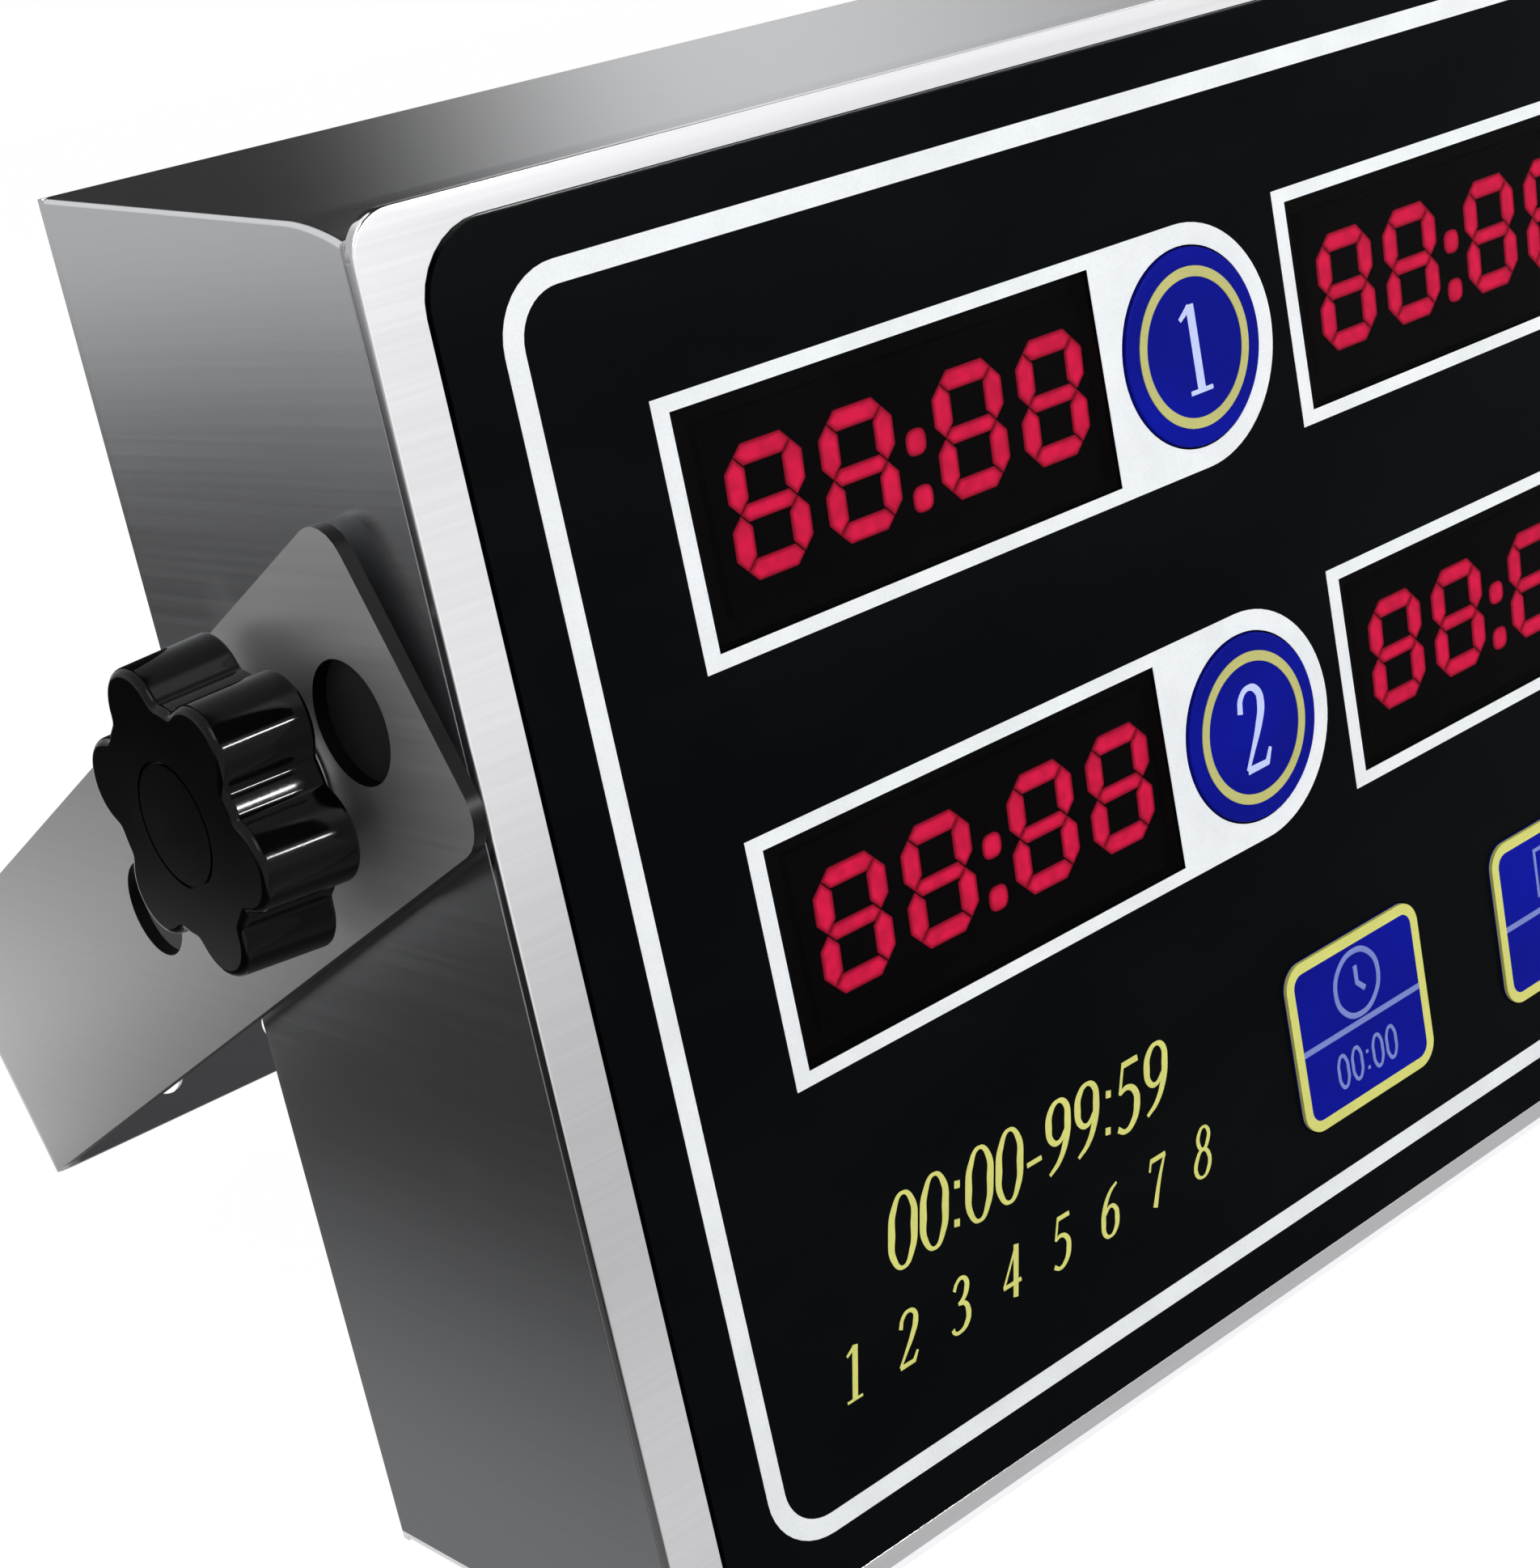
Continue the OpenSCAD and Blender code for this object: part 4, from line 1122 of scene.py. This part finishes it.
# Bracket: a strip bent to a U that carries the case at both ends; an arm's holes are radius and place
bracketLook = {"bendSteps": 8, "cornerSteps": 6, "roundSteps": 2, "roundAngle": 40,
               "armHoles": [(4.5 * mm, 0), (6.25 * mm, -15.55 * mm), (5.5 * mm, 43.5 * mm)],
               **lengths(strip=33.4, sheet=1.5, bend=3, front=27.9, endCorner=4.5, baseHole=2.5, cutReach=5,
                         edgeRound=0.2)}
mounts = {mount["name"]: mount for mount in frame["record"]["mounts"]}
pivot = Vector(next(joint for joint in frame["joints"] if joint["name"] == "bracket_tilt")["pos_m"])
baseWay = Vector(mounts["bracket_base"]["axis"])
tilt = math.atan2(baseWay.z, baseWay.y)
tilted = Matrix.Translation(pivot) @ Matrix.Rotation(tilt, 4, "X")


def makeBracket():
    look = bracketLook
    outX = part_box("bracket")[1].x
    outY = (Vector(mounts["bracket_base"]["pos_m"]) - Vector((0, pivot.y, pivot.z))).length
    bend = look["bend"] + look["sheet"]
    straight = look["front"] + outY - bend
    piece = plane((look["strip"], straight), (-outX, straight / 2 - look["front"], 0), (0, -math.pi / 2, 0))
    editPiece(piece)
    pick("EDGE", lambda edge: edgeRuns(edge, 2) and edgeMiddle(edge).y > 0)
    for bendX, run in ((bend - outX, (2 * (outX - bend), 0, 0)), (outX - bend, (0, -straight, 0))):
        bpy.ops.mesh.spin(steps=look["bendSteps"], angle=math.pi / 2, center=(bendX, outY - bend, 0),
                          axis=(0, 0, 1))
        bpy.ops.mesh.extrude_region_move(TRANSFORM_OT_translate={"value": run})
    weld()
    pick("VERT", lambda point: isNear(point.co.y, -look["front"]))
    bpy.ops.mesh.bevel(offset=look["endCorner"], segments=look["cornerSteps"], affect="VERTICES")
    piece = leaveEdit()
    if min(piece.data.polygons, key=lambda face: face.center.x).normal.x > 0:
        piece.data.flip_normals()
    thicken(piece, look["sheet"])
    cutReach = look["cutReach"]
    for radius, along in look["armHoles"]:
        cutWith(piece, rod(radius, (-outX - cutReach, along, 0), (outX + cutReach, along, 0)))
    for name, mount in mounts.items():
        if name.startswith("base_hole"):
            middle = tilted.inverted() @ Vector(mount["pos_m"])
            reach = Vector((0, cutReach, 0))
            cutWith(piece, rod(look["baseHole"], middle - reach, middle + reach, 40))
    piece.data.transform(tilted)
    roundEdges(piece, look["edgeRound"], look["roundSteps"], look["roundAngle"])
    seat(piece, "bracketStrip", "bracketSteel", "bracket", ["bracket"])


# Star knobs: lobed heads with round edges on a plain hub
knobLook = {"lobes": 6, "turn": 15.0, "edgeSteps": 5, "backSteps": 3, "draft": 0.02, "steps": 48,
            **lengths(tip=15.9, lobe=4.9, root=12.5, blend=0.8, head=10.1, hub=7.5, edgeRound=0.8,
                      backRound=0.5, hubRound=0.3, cap=6.5, groove=0.35)}


# Distance of the knob's outline from its axis at an angle
def knobOutline(angle):
    look = knobLook
    pitch = 2 * math.pi / look["lobes"]
    off = (angle - math.radians(look["turn"]) + pitch / 2) % pitch - pitch / 2
    reach = look["tip"] - look["lobe"]
    inside = max(0.0, look["lobe"] ** 2 - (reach * math.sin(off)) ** 2)
    lobe = reach * math.cos(off) + math.sqrt(inside)
    mix = max(0.0, look["blend"] - abs(lobe - look["root"])) / look["blend"]
    return max(lobe, look["root"]) + mix * mix * look["blend"] / 4


def makeKnobs():
    look = knobLook
    low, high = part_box("knob_right")
    headX = high.x - look["head"]
    clearSelection()
    bpy.ops.mesh.primitive_circle_add(vertices=look["lobes"] * look["steps"], radius=1, fill_type="NGON",
                                      rotation=(0, math.pi / 2, 0))
    piece = applyPlace(bpy.context.object)
    for point in piece.data.vertices:
        angle = math.atan2(point.co.z, point.co.y)
        reach = knobOutline(angle)
        point.co = (high.x, reach * math.cos(angle), reach * math.sin(angle))
    editPiece(piece)
    bpy.ops.mesh.normals_make_consistent(inside=False)
    leaveEdit()
    lookAlong(piece, (1, 0, 0))
    thicken(piece, look["head"])
    for point in piece.data.vertices:
        grow = 1 - look["draft"] if isNear(point.co.x, high.x) else 1 + look["draft"]
        point.co.yz = point.co.yz * grow
    editPiece(piece)
    for level, edge in ((high.x, "edge"), (headX, "back")):
        pick("EDGE", lambda line: all(isNear(point.co.x, level) for point in line.verts))
        bpy.ops.mesh.bevel(offset=look[f"{edge}Round"], segments=look[f"{edge}Steps"], profile=0.5)
    piece = leaveEdit()
    hub = rod(look["hub"], (low.x, 0, 0), (headX + 1 * mm, 0, 0))
    roundEdges(hub, look["hubRound"], 2)
    ring = [rod(look["cap"], (high.x - look["groove"], 0, 0), (high.x + 1 * mm, 0, 0)),
            rod(look["cap"] - look["groove"], (high.x - 1 * mm, 0, 0), (high.x + 2 * mm, 0, 0))]
    cutWith(ring[0], ring[1])
    cutWith(piece, ring[0])
    piece = joinPieces([piece, hub])
    place = Matrix.Translation((0, pivot.y, pivot.z))
    left = copyPiece(piece, "leftKnob", place @ Matrix.Scale(-1, 4, (1, 0, 0)))
    piece.data.transform(place)
    seat(piece, "rightKnob", "knobBlack", "right_knob", ["knob_right"])
    seat(left, "leftKnob", "knobBlack", "left_knob", ["knob_left"])


makeBracket()
makeKnobs()
print("bracket: strip and two star knobs")

# Rear screws: pan heads with a cross recess, whose crown is shares of the head's radius and drops
screwLook = {"turnSteps": 48, "crown": [(0, 0), (0.55, 0.12 * mm), (0.86, 0.55 * mm), (1, 1.25 * mm)],
             **lengths(head=2.8, rise=2, shank=1.5, slot=0.75, slotLength=3, slotDepth=1.1)}


def makeCoverScrews():
    look = screwLook
    low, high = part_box("cover_screws")
    top = high.y
    seatY = top - look["rise"]
    profile = [(look["head"] * share, top - drop) for share, drop in look["crown"]]
    profile += [(look["head"], seatY), (look["shank"], seatY), (look["shank"], low.y), (0, low.y)]
    pattern = turned(profile, (0, 0), look["turnSteps"])
    for across, up in ((look["slotLength"], look["slot"]), (look["slot"], look["slotLength"])):
        deep = top - look["slotDepth"]
        cutWith(pattern, block((-across / 2, deep, -up / 2), (across / 2, top + mm, up / 2)))
    edge = look["head"]
    places = [(x, z) for x in (low.x + edge, 0, high.x - edge) for z in (low.z + edge, high.z - edge)]
    copies = [copyPiece(pattern, "screw", Matrix.Translation((x, 0, z))) for x, z in places]
    bpy.data.objects.remove(pattern)
    seat(joinPieces(copies), "coverScrews", "zinc", "case", ["cover_screws"])


# Cord gland: hexagon collar and a ribbed clamping nut with a round nose
glandLook = {"noseTurns": (0.0, 0.4, 0.8, 1.2, math.pi / 2), "turnSteps": 72, "ribs": 18,
             **lengths(neck=6, bore=3.5, collar=3, collarRadius=9, collarRound=0.4, nut=7.5, nutStart=0.5,
                       nutEnd=3.2, nose=3, noseReach=2.9, rim=0.6, mouth=0.4, rib=0.5, ribWidth=1, ribEnd=3.4,
                       ribRound=0.25)}


def makeGland():
    look = glandLook
    low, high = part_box("cord_gland")
    centre = middleOf("cord_gland")
    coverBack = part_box("rear_cover")[1].y
    collarBack = coverBack + look["collar"]
    nose = high.y
    nutStart = coverBack + look["nutStart"]
    nut = look["nut"] - look["rib"]
    profile = [(look["bore"], low.y), (look["neck"], low.y), (look["neck"], nutStart), (nut, nutStart),
               (nut, nose - look["nutEnd"])]
    profile += [(look["bore"] + look["rim"] + look["noseReach"] * math.cos(turn),
                 nose - look["nose"] + look["nose"] * math.sin(turn)) for turn in look["noseTurns"]]
    profile += [(look["bore"], nose - look["mouth"]), (look["bore"], low.y)]
    parts = [turned(profile, centre, look["turnSteps"])]
    collar = rod(look["collarRadius"], (centre[0], coverBack, centre[1]),
                 (centre[0], collarBack, centre[1]), 6)
    cutWith(collar, rod(look["neck"], (centre[0], coverBack - mm, centre[1]),
                        (centre[0], collarBack + mm, centre[1])))
    roundEdges(collar, look["collarRound"], 2)
    parts.append(collar)
    rib = block((-look["ribWidth"] / 2, collarBack, look["nut"] - 2 * look["rib"]),
                (look["ribWidth"] / 2, nose - look["ribEnd"], look["nut"]))
    roundEdges(rib, look["ribRound"], 2)
    for step in range(look["ribs"]):
        turn = Matrix.Rotation(2 * math.pi * step / look["ribs"], 4, "Y")
        parts.append(copyPiece(rib, "rib", Matrix.Translation((centre[0], 0, centre[1])) @ turn))
    bpy.data.objects.remove(rib)
    seat(joinPieces(parts), "cordGland", "glandBlack", "case", ["cord_gland"])


makeCoverScrews()
makeGland()
print("rear: screws and cord gland")
